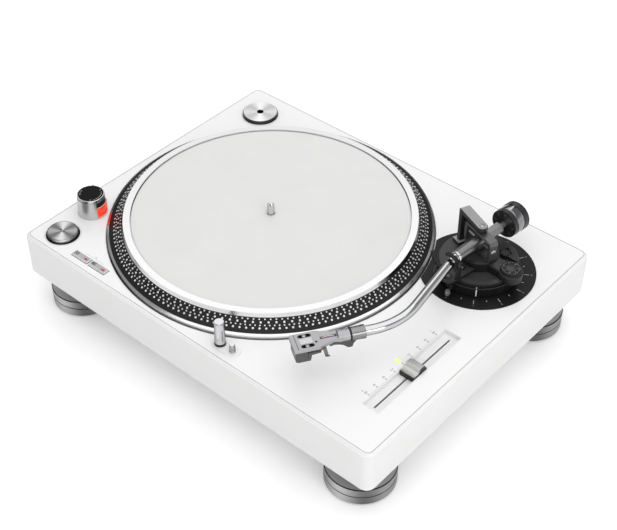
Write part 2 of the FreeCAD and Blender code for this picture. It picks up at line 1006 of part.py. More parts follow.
def build_bottom_cover():
    body = new_body("bottom_cover")
    add_inset_box(body, "AdditiveBox", "wall + fit_gap", "clearance_below", "cover_thickness")
    dress(body, "Fillet", "corner_radius - wall - fit_gap", upright)
    for x, y in corner_places("post_inset", "post_inset"):
        add(
            body,
            "SubtractiveCylinder",
            x,
            y,
            "clearance_below",
            Radius="screw_radius + screw_play",
            Height="cover_thickness",
        )
    screws = []
    for x, y in corner_places("post_inset", "post_inset"):
        shank = primitive(
            "Cylinder",
            "Shank",
            x,
            y,
            "clearance_below",
            Radius="screw_radius",
            Height="screw_length",
        )
        head = primitive(
            "Cylinder",
            "Head",
            x,
            y,
            "clearance_below - screw_head_height",
            Radius="screw_head_radius",
            Height="screw_head_height",
        )
        screws.append(fused("screw", [shank, head]))
    grouped("cover_screws", screws)


# Platter and motor


def build_platter():
    deck = "mat_top - mat_thickness"
    underside = f"{deck} - deck_thickness"
    inner = "platter_radius - platter_wall"
    bore = "shaft_radius + shaft_play"
    turned(
        "platter",
        [
            (bore, "-hub_drop"),
            ("hub_radius", "-hub_drop"),
            ("hub_radius", underside),
            ("band_inner_radius - band_wall", underside),
            (inner, "bead_top - platter_wall"),
            (inner, "-platter_drop"),
            ("platter_radius", "-platter_drop"),
            ("platter_radius", "bead_height"),
            ("bead_radius", "bead_height + bead_round"),
            ("bead_inner_radius", "bead_top"),
            ("band_outer_radius", "band_bottom"),
            ("band_inner_radius", "band_top"),
            ("ring_outer_radius", "ring_top"),
            ("mat_seat_radius", "ring_top"),
            ("mat_seat_radius", deck),
            (bore, deck),
        ],
        "platter_x",
        "platter_y",
        "top",
    )
    hole = "shaft_radius + mat_hole_gap"
    turned(
        "platter_mat",
        [(hole, deck), ("mat_radius", deck), ("mat_radius", "mat_top"), (hole, "mat_top")],
        "platter_x",
        "platter_y",
        "top",
    )
    turned(
        "spindle",
        [
            (0, "-spindle_drop"),
            ("shaft_radius", "-spindle_drop"),
            ("shaft_radius", "mat_top"),
            ("spindle_radius", "mat_top"),
            ("spindle_radius", "spindle_top - 2 * spindle_tip"),
            ("spindle_radius - spindle_tip / spindle_taper", "spindle_top - spindle_tip"),
            ("spindle_radius - spindle_tip", "spindle_top"),
            (0, "spindle_top"),
        ],
        "platter_x",
        "platter_y",
        "top",
    )
    turned(
        "rotor_magnet",
        [
            ("magnet_inner_radius", f"{underside} - magnet_height"),
            ("magnet_outer_radius", f"{underside} - magnet_height"),
            ("magnet_outer_radius", underside),
            ("magnet_inner_radius", underside),
        ],
        "platter_x",
        "platter_y",
        "top",
    )


def build_motor():
    floor = "-well_depth"
    turned(
        "bearing_sleeve",
        [
            (0, "-spindle_drop - thrust_gap - thrust_plate"),
            ("sleeve_radius", "-spindle_drop - thrust_gap - thrust_plate"),
            ("sleeve_radius", floor),
            ("sleeve_flange_radius", floor),
            ("sleeve_flange_radius", f"{floor} + sleeve_flange"),
            ("sleeve_radius", f"{floor} + sleeve_flange"),
            ("sleeve_radius", f"{floor} + sleeve_flange + sleeve_top"),
            ("shaft_radius + shaft_play", f"{floor} + sleeve_flange + sleeve_top"),
            ("shaft_radius + shaft_play", "-spindle_drop - thrust_gap"),
            (0, "-spindle_drop - thrust_gap"),
        ],
        "platter_x",
        "platter_y",
        "top",
    )
    body = turned(
        "motor_stator",
        [
            ("stator_bore", floor),
            ("stator_radius", floor),
            ("stator_radius", f"{floor} + stator_plate"),
            ("stator_bore", f"{floor} + stator_plate"),
        ],
        "platter_x",
        "platter_y",
        "top",
    )
    coil = add(
        body,
        "AdditiveCylinder",
        "coil_circle",
        0,
        f"{floor} + stator_plate",
        Radius="coil_radius",
        Height="coil_height",
    )
    pattern = body.newObject("PartDesign::PolarPattern", "Coils")
    pattern.Originals = [coil]
    sketch = next(part for part in body.Group if part.TypeId == "Sketcher::SketchObject")
    pattern.Axis = (sketch, ["V_Axis"])
    pattern.Angle = FULL_TURN
    bind(pattern, "Occurrences", "coil_count")
    body.Tip = pattern
    document.recompute()


# Controls on the left


def build_power_dial():
    window_low, window_high = "window_bottom", "window_top"
    slope = "(tower_base_radius - tower_top_radius) / tower_height"

    def outer(height, inset="0"):
        return f"tower_base_radius - ({height}) * {slope} - ({inset})"

    tower = turned(
        "strobe_tower",
        [
            (outer("0", "tower_wall"), 0),
            (outer("0"), 0),
            (outer("tower_height"), "tower_height"),
            ("dial_stem_radius + fit_gap", "tower_height"),
            ("dial_stem_radius + fit_gap", "tower_height - tower_roof"),
            (outer("tower_height", "tower_wall"), "tower_height - tower_roof"),
        ],
        "tower_x",
        "tower_y",
        "top",
        start="window_bearing - window_span / 2",
    )
    groove = [
        (f"{outer(window_low, 'tower_wall')} - 1", window_low),
        (f"{outer(window_low)} + 1", window_low),
        (f"{outer(window_low)} + 1", window_high),
        (f"{outer(window_low, 'tower_wall')} - 1", window_high),
    ]
    add_turned(tower, groove, "window_span", kind="Groove")
    turned(
        "strobe_window",
        [
            (outer(f"{window_low} + slip", "tower_wall"), f"{window_low} + slip"),
            (outer(f"{window_low} + slip"), f"{window_low} + slip"),
            (outer(f"{window_high} - slip"), f"{window_high} - slip"),
            (outer(f"{window_high} - slip", "tower_wall"), f"{window_high} - slip"),
        ],
        "tower_x",
        "tower_y",
        "top",
        angle="window_span - window_play",
        start="window_bearing - (window_span - window_play) / 2",
    )
    dial_bottom = "tower_height + dial_gap"
    dial = turned(
        "power_dial",
        [
            (0, "-switch_reach"),
            ("dial_stem_radius", "-switch_reach"),
            ("dial_stem_radius", dial_bottom),
            ("dial_radius", dial_bottom),
            ("dial_radius", f"{dial_bottom} + dial_height - dial_chamfer"),
            ("dial_radius - dial_chamfer", f"{dial_bottom} + dial_height"),
            (0, f"{dial_bottom} + dial_height"),
        ],
        "tower_x",
        "tower_y",
        "top",
    )
    add(
        dial,
        "AdditiveCylinder",
        "(dial_radius - dial_pointer_radius / 2) * cos(dial_pointer_bearing)",
        "(dial_radius - dial_pointer_radius / 2) * sin(dial_pointer_bearing)",
        dial_bottom,
        Radius="dial_pointer_radius",
        Height="dial_height",
    )
    switch = new_body("power_switch")
    add_centred_box(
        switch,
        "AdditiveBox",
        "0",
        "0",
        "-panel_thickness - switch_height",
        "switch_width",
        "switch_width",
        "switch_height",
    )
    add(
        switch,
        "SubtractiveCylinder",
        0,
        0,
        "-switch_reach - fit_gap",
        Radius="dial_stem_radius + shaft_play",
        Height="switch_reach",
    )
    place(switch, "tower_x", "tower_y", "top")


def build_start_button():
    stem_hole = "plunger_radius + fit_gap"
    inner = "start_radius + button_gap"
    turned(
        "start_surround",
        [
            (stem_hole, "-surround_depth"),
            ("surround_radius", "-surround_depth"),
            ("surround_radius", "surround_height"),
            (inner, "surround_height"),
            (inner, "surround_floor - surround_depth"),
            (stem_hole, "surround_floor - surround_depth"),
        ],
        "start_x",
        "start_y",
        "top",
    )
    cap_bottom = "start_height - start_cap"
    turned(
        "start_button",
        [
            (0, "-plunger_reach"),
            ("plunger_radius", "-plunger_reach"),
            ("plunger_radius", cap_bottom),
            ("start_radius", cap_bottom),
            ("start_radius", "start_height - start_chamfer"),
            ("start_radius - start_chamfer", "start_height"),
            (0, "start_height"),
        ],
        "start_x",
        "start_y",
        "top",
    )


def build_speed_buttons():
    for index, name in enumerate(("speed_button_33", "speed_button_45")):
        body = new_body(name)
        add(
            body,
            "AdditiveBox",
            0,
            0,
            "-speed_drop",
            Length="speed_width",
            Width="speed_depth",
            Height="speed_drop + speed_height",
        )
        dress(body, "Fillet", "speed_round", level_at("speed_height"))
        add_centred_box(
            body,
            "AdditiveBox",
            "speed_width / 2",
            "speed_depth / 2",
            "-plunger_reach",
            "tact_width",
            "tact_width - plunger_play",
            "plunger_reach - speed_drop",
        )
        place(body, f"speed_x + {index} * speed_pitch", "speed_y", "top")


def build_control_board():
    """Circuit board under the buttons, hung from the panel on spacers, with a switch below each button."""
    body = new_body("control_board")
    add(
        body,
        "AdditiveBox",
        "left + board_from_left",
        "front + board_from_front",
        "top - board_top - board_thickness",
        Length="board_width",
        Width="board_depth",
        Height="board_thickness",
    )
    tact_places = [("start_x", "start_y", "start_travel")]
    for index in range(2):
        centre = f"speed_x + speed_width / 2 + {index} * speed_pitch"
        tact_places.append((centre, "speed_y + speed_depth / 2", "speed_travel"))
    for x, y, travel in tact_places:
        height = f"board_top - plunger_reach - {travel} - tact_gap"
        add_centred_box(body, "AdditiveBox", x, y, "top - board_top", "tact_width", "tact_width", height)
    spacers = [
        ("(start_x + surround_radius + speed_x) / 2", "speed_y + speed_depth + 2 * spacer_margin"),
        ("left + board_from_left + board_width - spacer_margin", "speed_y + speed_depth / 2"),
    ]
    for x, y in spacers:
        add(
            body,
            "AdditiveCylinder",
            x,
            y,
            "top - board_top",
            Radius="spacer_radius",
            Height="board_top - panel_thickness",
        )


def build_target_light():
    """The light post, its release button, and the plate whose two guides carry them."""
    plate = new_body("light_plate")
    middle = "release_right_of_light / 2"
    straight = "plate_length - plate_width"
    thickness = "plate_sunk + plate_rise"
    add_centred_box(plate, "AdditiveBox", middle, "0", "-plate_sunk", straight, "plate_width", thickness)
    for side in ("-", "+"):
        add(
            plate,
            "AdditiveCylinder",
            f"{middle} {side} ({straight}) / 2",
            0,
            "-plate_sunk",
            Radius="plate_width / 2",
            Height=thickness,
        )
    guides = [
        ("0", "guide_radius", "guide_drop", "light_base_radius"),
        ("release_right_of_light", "release_collar_radius", "release_drop", "release_radius"),
    ]
    for x, radius, drop, post in guides:
        add(plate, "AdditiveCylinder", x, 0, f"-{drop}", Radius=radius, Height=f"{drop} - plate_sunk")
    for x, radius, drop, post in guides:
        add(
            plate,
            "SubtractiveCylinder",
            x,
            0,
            f"-{drop}",
            Radius=f"{post} + fit_gap",
            Height=f"{drop} + plate_rise",
        )
    place(plate, "light_x", "light_y", "top")
    turned(
        "target_light",
        [
            (0, "-light_drop"),
            ("light_base_radius", "-light_drop"),
            ("light_base_radius", 0),
            ("light_top_radius", "light_height - light_tip"),
            ("light_top_radius - light_tip", "light_height"),
            (0, "light_height"),
        ],
        "light_x",
        "light_y",
        "top",
    )
    turned(
        "light_button",
        [
            (0, "-release_drop"),
            ("release_radius", "-release_drop"),
            ("release_radius", "release_height - light_tip"),
            ("release_radius - light_tip", "release_height"),
            (0, "release_height"),
        ],
        "release_x",
        "light_y",
        "top",
    )


def build_adapter():
    turned(
        "adapter_45",
        [
            ("adapter_hole", "fit_gap - adapter_seat_depth"),
            ("adapter_radius", "fit_gap - adapter_seat_depth"),
            ("adapter_radius", "adapter_top - adapter_chamfer"),
            ("adapter_radius - adapter_chamfer", "adapter_top"),
            ("adapter_hole", "adapter_top"),
        ],
        "adapter_x",
        "adapter_y",
        "top",
    )


# Pitch fader on the right


def build_fader():
    tray = new_body("fader_tray")
    bottom = "tray_depth + tray_floor"
    add_centred_box(tray, "AdditiveBox", "0", "0", f"-({bottom})", "tray_width", "tray_length", bottom)
    floor_width = "tray_width - 2 * tray_lip"
    floor_length = "tray_length - 2 * tray_lip"
    add_centred_box(tray, "SubtractiveBox", "0", "0", "-tray_depth", floor_width, floor_length, "tray_depth")
    add_centred_box(tray, "SubtractiveBox", "0", "0", f"-({bottom})", "slot_width", "slot_length", bottom)
    place(tray, "fader_x", "fader_y", "top")

    rail = new_body("fader_rail")
    rail_top = f"-({bottom})"
    add_centred_box(
        rail, "AdditiveBox", "0", "0", f"{rail_top} - rail_height", "rail_width", "rail_length", "rail_height"
    )
    add_centred_box(
        rail,
        "SubtractiveBox",
        "0",
        "0",
        f"{rail_top} - rail_height + channel_floor",
        "channel_width",
        "2 * fader_travel + carriage_length + channel_spare",
        "rail_height - channel_floor",
    )
    place(rail, "fader_x", "fader_y", "top")

    carriage = new_body("fader_carriage")
    carriage_bottom = f"{rail_top} - rail_height + channel_floor + fit_gap"
    add_centred_box(
        carriage,
        "AdditiveBox",
        "0",
        "0",
        carriage_bottom,
        "carriage_width",
        "carriage_length",
        "carriage_height",
    )
    stem_bottom = f"{carriage_bottom} + carriage_height"
    knob_bottom = "fit_gap - tray_depth"
    add_centred_box(
        carriage,
        "AdditiveBox",
        "0",
        "0",
        stem_bottom,
        "stem_width",
        "stem_length",
        f"{knob_bottom} - ({stem_bottom})",
    )
    place(carriage, "fader_x", "fader_y", "top")

    knob = new_body("fader_knob")
    half, ridge = "knob_length / 2", "knob_ridge_length / 2"
    hollow = f"({half} + {ridge}) / 2 - knob_scoop / 2"
    hollow_height = "knob_lip + scoop_share * (knob_ridge - knob_lip)"
    add_padded(
        knob,
        [
            (f"-{half}", knob_bottom),
            (half, knob_bottom),
            (half, "knob_lip - knob_lip_drop"),
            (hollow, hollow_height),
            (ridge, "knob_ridge"),
            (f"-{ridge}", "knob_ridge"),
            (f"-({hollow})", hollow_height),
            (f"-{half}", "knob_lip - knob_lip_drop"),
        ],
        "knob_width",
        role="YZ_Plane",
        midplane=True,
    )
    place(knob, "fader_x", "fader_y", "top")

    led = primitive(
        "Box",
        "LedBar",
        "fader_x - led_from_fader - led_length / 2",
        "fader_y - led_width / 2",
        "panel_underside",
        Length="led_length",
        Width="led_width",
        Height="panel_thickness + led_rise",
    )
    node("pitch_led", led)


# Tonearm base: disc, height ring and the platform that carries the arm


PIVOT = ("pivot_x", "pivot_y")


def build_arm_base():
    plate = primitive("Cylinder", "ArmDisc", *PIVOT, "top", Radius="base_radius", Height="base_thickness")
    sleeve_hole = primitive(
        "Cylinder", "SleeveHole", *PIVOT, "top", Radius="inner_sleeve_radius", Height="base_thickness"
    )
    well_cut = primitive(
        "Cylinder",
        "WellCut",
        "platter_x",
        "platter_y",
        "top",
        Radius="well_radius + base_well_gap",
        Height="base_thickness",
    )
    sleeve_bottom = "top - inner_sleeve_drop"
    sleeve_height = "inner_sleeve_drop + inner_sleeve_top"
    sleeve = primitive(
        "Cylinder", "ArmSleeve", *PIVOT, sleeve_bottom, Radius="inner_sleeve_radius", Height=sleeve_height
    )
    sleeve_bore = primitive(
        "Cylinder", "SleeveBore", *PIVOT, sleeve_bottom, Radius="inner_sleeve_bore", Height=sleeve_height
    )
    disc = cut("arm_disc", plate, fused("arm_disc_holes", [sleeve_hole, well_cut]))
    grouped("arm_base", [disc, cut("arm_sleeve", sleeve, sleeve_bore)])
    ring_bottom = "base_thickness + ring_gap"
    ring_inner = "inner_sleeve_radius + fit_gap"
    turned(
        "height_ring",
        [
            (ring_inner, ring_bottom),
            ("ring_radius - ring_chamfer", ring_bottom),
            ("ring_radius", f"{ring_bottom} + ring_chamfer"),
            ("ring_radius", "ring_rise - ring_chamfer"),
            ("ring_radius - ring_chamfer", "ring_rise"),
            (ring_inner, "ring_rise"),
        ],
        "pivot_x",
        "pivot_y",
        "top",
    )


def swung(along, across, bearing):
    """A place given along a bearing and across it, both from the frame's own origin."""
    return (
        f"({along}) * cos({bearing}) - ({across}) * sin({bearing})",
        f"({along}) * sin({bearing}) + ({across}) * cos({bearing})",
    )


def crosswise(bearing):
    """The axis that lays a cylinder down level along a bearing."""
    along_x, along_y = (value(text) for text in swung("1", "0", bearing))
    return vector(-along_y, along_x)


def skate_neck(body, kind, bottom, top, play):
    """The anti-skate housing's outline: a round end and a neck towards the pivot."""
    depth = f"{top} - ({bottom})"
    x, y = swung("skate_reach", "0", "skate_bearing")
    add(body, kind + "Cylinder", x, y, bottom, Radius=f"skate_radius + {play}", Height=depth)
    inner = "boss_radius - neck_overlap"
    x, y = swung(f"(skate_reach + {inner}) / 2", "0", "skate_bearing")
    length = f"skate_reach - ({inner})"
    width = f"skate_neck + 2 * ({play})"
    add_centred_box(body, kind + "Box", x, y, bottom, length, width, depth, bearing="skate_bearing")


def build_platform():
    """Stem in the base's sleeve, disc over the height ring, and the boss that carries the arm's lower pin."""
    bore = "lower_pin_radius + shaft_play"
    ceiling = "platform_bottom - pin_roof"
    body = turned(
        "arm_platform",
        [
            (bore, ceiling),
            ("stem_bore", ceiling),
            ("stem_bore", "-stem_drop"),
            ("stem_radius", "-stem_drop"),
            ("stem_radius", "platform_bottom"),
            ("platform_radius", "platform_bottom"),
            ("platform_radius", "platform_top - platform_chamfer"),
            ("platform_radius - platform_chamfer", "platform_top"),
            (bore, "platform_top"),
        ],
        "pivot_x",
        "pivot_y",
        "top",
    )
    add(
        body,
        "SubtractiveCylinder",
        0,
        0,
        "recess_floor",
        bearing="recess_start",
        Radius="recess_radius",
        Height="platform_top - recess_floor",
        Angle="recess_span",
    )
    skate_neck(body, "Subtractive", "recess_floor", "platform_top", "slip")
    add(
        body,
        "AdditiveCylinder",
        0,
        0,
        "recess_floor - boss_sink",
        Radius="boss_radius",
        Height="boss_top - recess_floor + boss_sink",
    )
    dress(body, "Fillet", "boss_round", circle_at("boss_radius", "boss_top"))
    add(body, "SubtractiveCylinder", 0, 0, ceiling, Radius=bore, Height=f"boss_top - ({ceiling})")
    x, y = swung("lock_reach", "0", "lock_bearing")
    add(
        body,
        "SubtractiveCylinder",
        x,
        y,
        "platform_bottom",
        Radius="lock_pin_radius + shaft_play",
        Height="recess_floor - platform_bottom",
    )


def build_yoke():
    """Upright post beside the gimbal with an arm over the pivot."""
    body = new_body("arm_yoke")
    post = "yoke_reach - yoke_post"
    height = "yoke_top - platform_top"
    add_centred_box(
        body,
        "AdditiveBox",
        "yoke_reach - yoke_post / 2",
        "0",
        "platform_top",
        "yoke_post + 2 * yoke_foot",
        "yoke_width + 2 * yoke_foot",
        "yoke_foot",
    )
    add_centred_box(
        body, "AdditiveBox", f"{post} + yoke_post / 2", "0", "platform_top", "yoke_post", "yoke_width", height
    )
    arm_bottom = "yoke_top - yoke_thickness"
    add_centred_box(
        body, "AdditiveBox", "yoke_reach / 2", "0", arm_bottom, "yoke_reach", "yoke_width", "yoke_thickness"
    )
    add(body, "AdditiveCylinder", 0, 0, arm_bottom, Radius="yoke_end_radius", Height="yoke_thickness")
    dress(body, "Fillet", "yoke_round", level_at("yoke_top"))
    add(
        body,
        "SubtractiveCylinder",
        0,
        0,
        arm_bottom,
        Radius="gimbal_pin_radius + shaft_play",
        Height="arm_height + gimbal_rise / 2 + gimbal_pin_reach + slip - (yoke_top - yoke_thickness)",
    )
    place(body, "pivot_x", "pivot_y", "top", bearing="yoke_bearing")


def build_antiskate():
    body = new_body("antiskate_housing")
    skate_neck(body, "Additive", "recess_floor", "skate_top", "0")
    dress(body, "Fillet", "skate_round", level_at("skate_top"))
    add(
        body,
        "SubtractiveCylinder",
        0,
        0,
        "recess_floor",
        Radius="boss_radius + slip",
        Height="skate_top - recess_floor",
    )
    x, y = swung("skate_reach", "0", "skate_bearing")
    add(
        body,
        "SubtractiveCylinder",
        x,
        y,
        "skate_top - dial_pin_length",
        Radius="dial_pin_radius + shaft_play",
        Height="dial_pin_length",
    )
    place(body, "pivot_x", "pivot_y", "top")
    dial_bottom = "skate_top + fit_gap"
    turned(
        "antiskate_dial",
        [
            (0, "skate_top + fit_gap - dial_pin_length"),
            ("dial_pin_radius", "skate_top + fit_gap - dial_pin_length"),
            ("dial_pin_radius", dial_bottom),
            ("skate_dial_radius", dial_bottom),
            ("skate_dial_radius", "skate_dial_top - skate_dial_chamfer"),
            ("skate_dial_radius - skate_dial_chamfer", "skate_dial_top"),
            (0, "skate_dial_top"),
        ],
        f"pivot_x + {x}",
        f"pivot_y + {y}",
        "top",
    )


def build_lock_lever():
    x, y = swung("lock_reach", "0", "lock_bearing")
    foot = "recess_floor + fit_gap"
    body = turned(
        "lock_lever",
        [
            (0, "platform_bottom + fit_gap"),
            ("lock_pin_radius", "platform_bottom + fit_gap"),
            ("lock_pin_radius", foot),
            ("lock_boss_radius", foot),
            ("lock_boss_radius", "lock_boss_top"),
            (0, "lock_boss_top"),
        ],
        f"pivot_x + {x}",
        f"pivot_y + {y}",
        "top",
        start="lock_arm_bearing",
    )
    thickness = "lock_arm_top - lock_arm_bottom"
    add_centred_box(
        body,
        "AdditiveBox",
        "lock_arm_length / 2",
        "0",
        "lock_arm_bottom",
        "lock_arm_length",
        "lock_arm_width",
        thickness,
    )
    add(
        body,
        "AdditiveCylinder",
        "lock_arm_length",
        0,
        "lock_arm_bottom",
        Radius="lock_arm_width / 2",
        Height=thickness,
    )


def build_arm_rest():
    """Plate with the post and cradle under the tube, the lifter's guide and the lever's hinge."""
    body = new_body("arm_rest")
    swing = "tongue_bearing - rest_bearing"
    tips = [
        swung("tongue_reach", "tongue_tip / 2", swing),
        swung("tongue_reach", "-tongue_tip / 2", swing),
    ]
    roots = [
        swung("tongue_inner", "-tongue_root / 2", swing),
        swung("tongue_inner", "tongue_root / 2", swing),
    ]
    add_padded(body, tips + roots, "tongue_rise")
    dress(body, "Fillet", "tongue_round", upright_at(*tips))
    add(body, "SubtractiveCylinder", Radius="boss_radius + slip", Height="tongue_rise")
    cradle_top = "cradle_z - platform_top"
    side = "tube_radius + tube_side_gap"
    inner = "rest_post_reach - rest_post_length / 2"
    hinge = "arm_height - clip_hinge_drop - platform_top"
    add(
        body,
        "AdditiveBox",
        inner,
        side,
        "tongue_rise / 2",
        Length="rest_post_length",
        Width="rest_post_width",
        Height=f"{hinge} + clip_eye_radius - tongue_rise / 2",
    )
    add(
        body,
        "AdditiveBox",
        inner,
        "-cradle_width",
        f"{cradle_top} - cradle_thickness",
        Length="rest_post_length",
        Width=f"cradle_width + {side} + rest_post_width / 2",
        Height="cradle_thickness",
    )
    add(
        body,
        "SubtractiveCylinder",
        inner,
        f"{side} + rest_post_width / 2",
        hinge,
        tilt=(vector(0, 1, 0), QUARTER_TURN),
        Radius="clip_pin_radius + shaft_play",
        Height="rest_post_length",
    )
    x, y = swung("lifter_radius", "0", "lifter_post_bearing - rest_bearing")
    add(
        body,
        "AdditiveCylinder",
        x,
        y,
        "tongue_rise / 2",
        Radius="lifter_guide_radius",
        Height="tongue_rise / 2 + lifter_guide_height",
    )
    add(
        body,
        "SubtractiveCylinder",
        x,
        y,
        0,
        Radius="lifter_post_radius + slip",
        Height="tongue_rise + lifter_guide_height",
    )
    cheek_right = "cue_offset - cue_arm_width / 2 - fit_gap"
    cheek_drop = "platform_top - cue_cheek_bottom"
    add(
        body,
        "AdditiveBox",
        "cue_hinge_reach - cue_cheek_length / 2",
        f"{cheek_right} - cue_cheek_width",
        f"-({cheek_drop})",
        Length="cue_cheek_length",
        Width="cue_cheek_width",
        Height=f"{cheek_drop} + tongue_rise / 2",
    )
    add(
        body,
        "SubtractiveCylinder",
        "cue_hinge_reach",
        f"{cheek_right} - cue_cheek_width",
        "cue_hinge_height - platform_top",
        tilt=(vector(1, 0, 0), -QUARTER_TURN),
        Radius="cue_hinge_radius + shaft_play",
        Height="cue_cheek_width",
    )
    place(body, "pivot_x", "pivot_y", "top + platform_top", bearing="rest_bearing")


def build_arm_clip():
    """Hook over the tube, hinged on the post at the outer side. Its frame stands on the hinge's axis."""
    body = new_body("arm_clip")
    offset = "tube_radius + tube_side_gap + rest_post_width / 2"
    under = "clip_hinge_drop + tube_radius + clip_room"
    half = "clip_band * clip_share"
    far = f"-({offset}) - tube_radius"
    add_padded(
        body,
        [
            (f"-({half})", 0),
            (half, 0),
            (half, f"{under} - clip_band"),
            (f"-({half})", f"{under} + clip_band"),
            (far, f"{under} + clip_band"),
            (far, f"{under} - clip_lip"),
            (f"{far} + clip_band", f"{under} - clip_lip"),
            (f"{far} + clip_band", under),
            (f"-({half}) - clip_band", under),
            (f"-({half})", f"{under} - clip_band"),
        ],
        "clip_width",
        role="YZ_Plane",
    )
    add(
        body,
        "AdditiveCylinder",
        tilt=(vector(0, 1, 0), QUARTER_TURN),
        Radius="clip_eye_radius",
        Height="clip_width",
    )
    add(
        body,
        "AdditiveCylinder",
        "-rest_post_length - fit_gap",
        tilt=(vector(0, 1, 0), QUARTER_TURN),
        Radius="clip_pin_radius",
        Height="rest_post_length + fit_gap + clip_width",
    )
    x, y = swung("rest_post_reach + rest_post_length / 2 + fit_gap", offset, "rest_bearing")
    height = "top + arm_height - clip_hinge_drop"
    place(body, f"pivot_x + {x}", f"pivot_y + {y}", height, bearing="rest_bearing")


def build_lifter():
    inner = "lifter_radius - lifter_width / 2"
    outer = "lifter_radius + lifter_width / 2"
    body = turned(
        "arm_lifter",
        [
            (inner, "lifter_top - lifter_height"),
            (outer, "lifter_top - lifter_height"),
            (outer, "lifter_top"),
            (inner, "lifter_top"),
        ],
        "pivot_x",
        "pivot_y",
        "top",
        angle="lifter_span",
        start="lifter_start",
    )
    x, y = swung("lifter_radius", "0", "lifter_post_bearing - lifter_start")
    add(
        body,
        "AdditiveCylinder",
        x,
        y,
        "lifter_post_bottom",
        Radius="lifter_post_radius",
        Height="lifter_top - lifter_height / 2 - lifter_post_bottom",
    )


def build_cue_lever():
    """Lever under the arm rest's tip. Its frame stands on the hinge's axis, in the lever's own plane."""
    body = new_body("cue_lever")
    reach = "cue_arm_reach - cue_hinge_reach"
    knob_top = "cue_knob_top - cue_hinge_height"
    add_padded(
        body,
        [
            (0, "-cue_arm_height"),
            (reach, f"{knob_top} - cue_arm_height"),
            (reach, knob_top),
            (f"({reach}) / 2", knob_top),
            (0, "cue_arm_height / 2"),
        ],
        "cue_arm_width",
        role="XZ_Plane",
        midplane=True,
    )
    add(
        body,
        "AdditiveCylinder",
        0,
        "-cue_arm_width / 2",
        0,
        tilt=(vector(1, 0, 0), -QUARTER_TURN),
        Radius="cue_eye_radius",
        Height="cue_arm_width",
    )
    pin = "cue_cheek_width + fit_gap + cue_arm_width"
    add(
        body,
        "AdditiveCylinder",
        0,
        f"cue_arm_width / 2 - ({pin})",
        0,
        tilt=(vector(1, 0, 0), -QUARTER_TURN),
        Radius="cue_hinge_radius",
        Height=pin,
    )
    add(
        body,
        "AdditiveCylinder",
        reach,
        0,
        "cue_knob_bottom - cue_hinge_height",
        Radius="cue_knob_radius",
        Height="cue_knob_top - cue_knob_bottom",
    )
    x, y = swung("cue_hinge_reach", "cue_offset", "rest_bearing")
    place(body, f"pivot_x + {x}", f"pivot_y + {y}", "top + cue_hinge_height", bearing="rest_bearing")


# Tonearm: gimbal, shaft, tube and what they carry


def build_gimbal():
    body = new_body("gimbal_ring")
    bottom = "arm_height - gimbal_rise / 2"
    add_centred_box(body, "AdditiveBox", "0", "0", bottom, "gimbal_width", "gimbal_depth", "gimbal_rise")
    half_width, half_rise = value("gimbal_width / 2"), value("gimbal_rise / 2")

    def corner(edge):
        centre = edge.CenterOfMass
        at_side = near(abs(centre.x), half_width)
        return at_side and near(abs(centre.z - value("arm_height")), half_rise)

    dress(body, "Fillet", "gimbal_round", lambda edge: corner(edge) and near(edge.CenterOfMass.y, 0))
    inner_width = "gimbal_width - 2 * gimbal_wall"
    inner_rise = "gimbal_rise - 2 * gimbal_wall"
    add_centred_box(
        body,
        "SubtractiveBox",
        "0",
        "0",
        f"{bottom} + gimbal_wall",
        inner_width,
        "gimbal_depth",
        inner_rise,
    )
    add(
        body,
        "AdditiveCylinder",
        0,
        0,
        "boss_top - lower_pin_length + fit_gap",
        Radius="lower_pin_radius",
        Height=f"{bottom} + gimbal_wall / 2 - (boss_top - lower_pin_length + fit_gap)",
    )
    ring_top = "arm_height + gimbal_rise / 2"
    add(
        body,
        "AdditiveCylinder",
        0,
        0,
        f"{ring_top} - gimbal_wall / 2",
        Radius="gimbal_pin_radius",
        Height="gimbal_wall / 2 + gimbal_pin_reach",
    )
    add(
        body,
        "SubtractiveCylinder",
        "-gimbal_width / 2",
        0,
        "arm_height",
        tilt=(vector(0, 1, 0), QUARTER_TURN),
        Radius="cross_pin_radius + shaft_play",
        Height="gimbal_width",
    )
    place(body, "pivot_x", "pivot_y", "top", bearing="gimbal_bearing")


def build_arm_shaft():
    """Taper in front, hexagon behind and the stub that carries the counterweight, with the cross pins."""
    body = new_body("arm_shaft")
    neck = "gimbal_depth / 2 + neck_spare"
    corner = "hexagon_width / 2 / cos(hexagon_turn / 2)"
    add_turned(
        body,
        [
            ("-rear_shaft_reach", 0),
            ("front_sleeve_length", 0),
            ("front_sleeve_length", "front_sleeve_end"),
            (neck, "front_sleeve_root"),
            (f"-({neck})", "front_sleeve_root"),
            (f"-({neck})", "rear_shaft_radius"),
            ("-rear_shaft_reach", "rear_shaft_radius"),
        ],
        axis="H_Axis",
    )
    flats = []
    for turn in range(HEXAGON_SIDES):
        angle = f"hexagon_turn * {turn}"
        flats.append((f"{corner} * cos({angle})", f"{corner} * sin({angle})"))
    hexagon = add_padded(body, flats, "hexagon_reach", role="YZ_Plane")
    hexagon.Reversed = True
    document.recompute()
    add(
        body,
        "SubtractiveCylinder",
        "front_sleeve_length - tube_socket",
        tilt=(vector(0, 1, 0), QUARTER_TURN),
        Radius="tube_radius",
        Height="tube_socket",
    )
    swing = "gimbal_bearing - arm_bearing"
    inner = "gimbal_width / 2 - gimbal_wall - cross_gap"
    for radius, reach in (
        ("cross_radius", inner),
        ("cross_pin_radius", "gimbal_width / 2 - cross_gap"),
    ):
        x, y = swung(f"-({reach})", "0", swing)
        tilt = (crosswise(swing), QUARTER_TURN)
        add(body, "AdditiveCylinder", x, y, tilt=tilt, Radius=radius, Height=f"2 * ({reach})")
    place(body, "pivot_x", "pivot_y", "arm_z", bearing="arm_bearing")


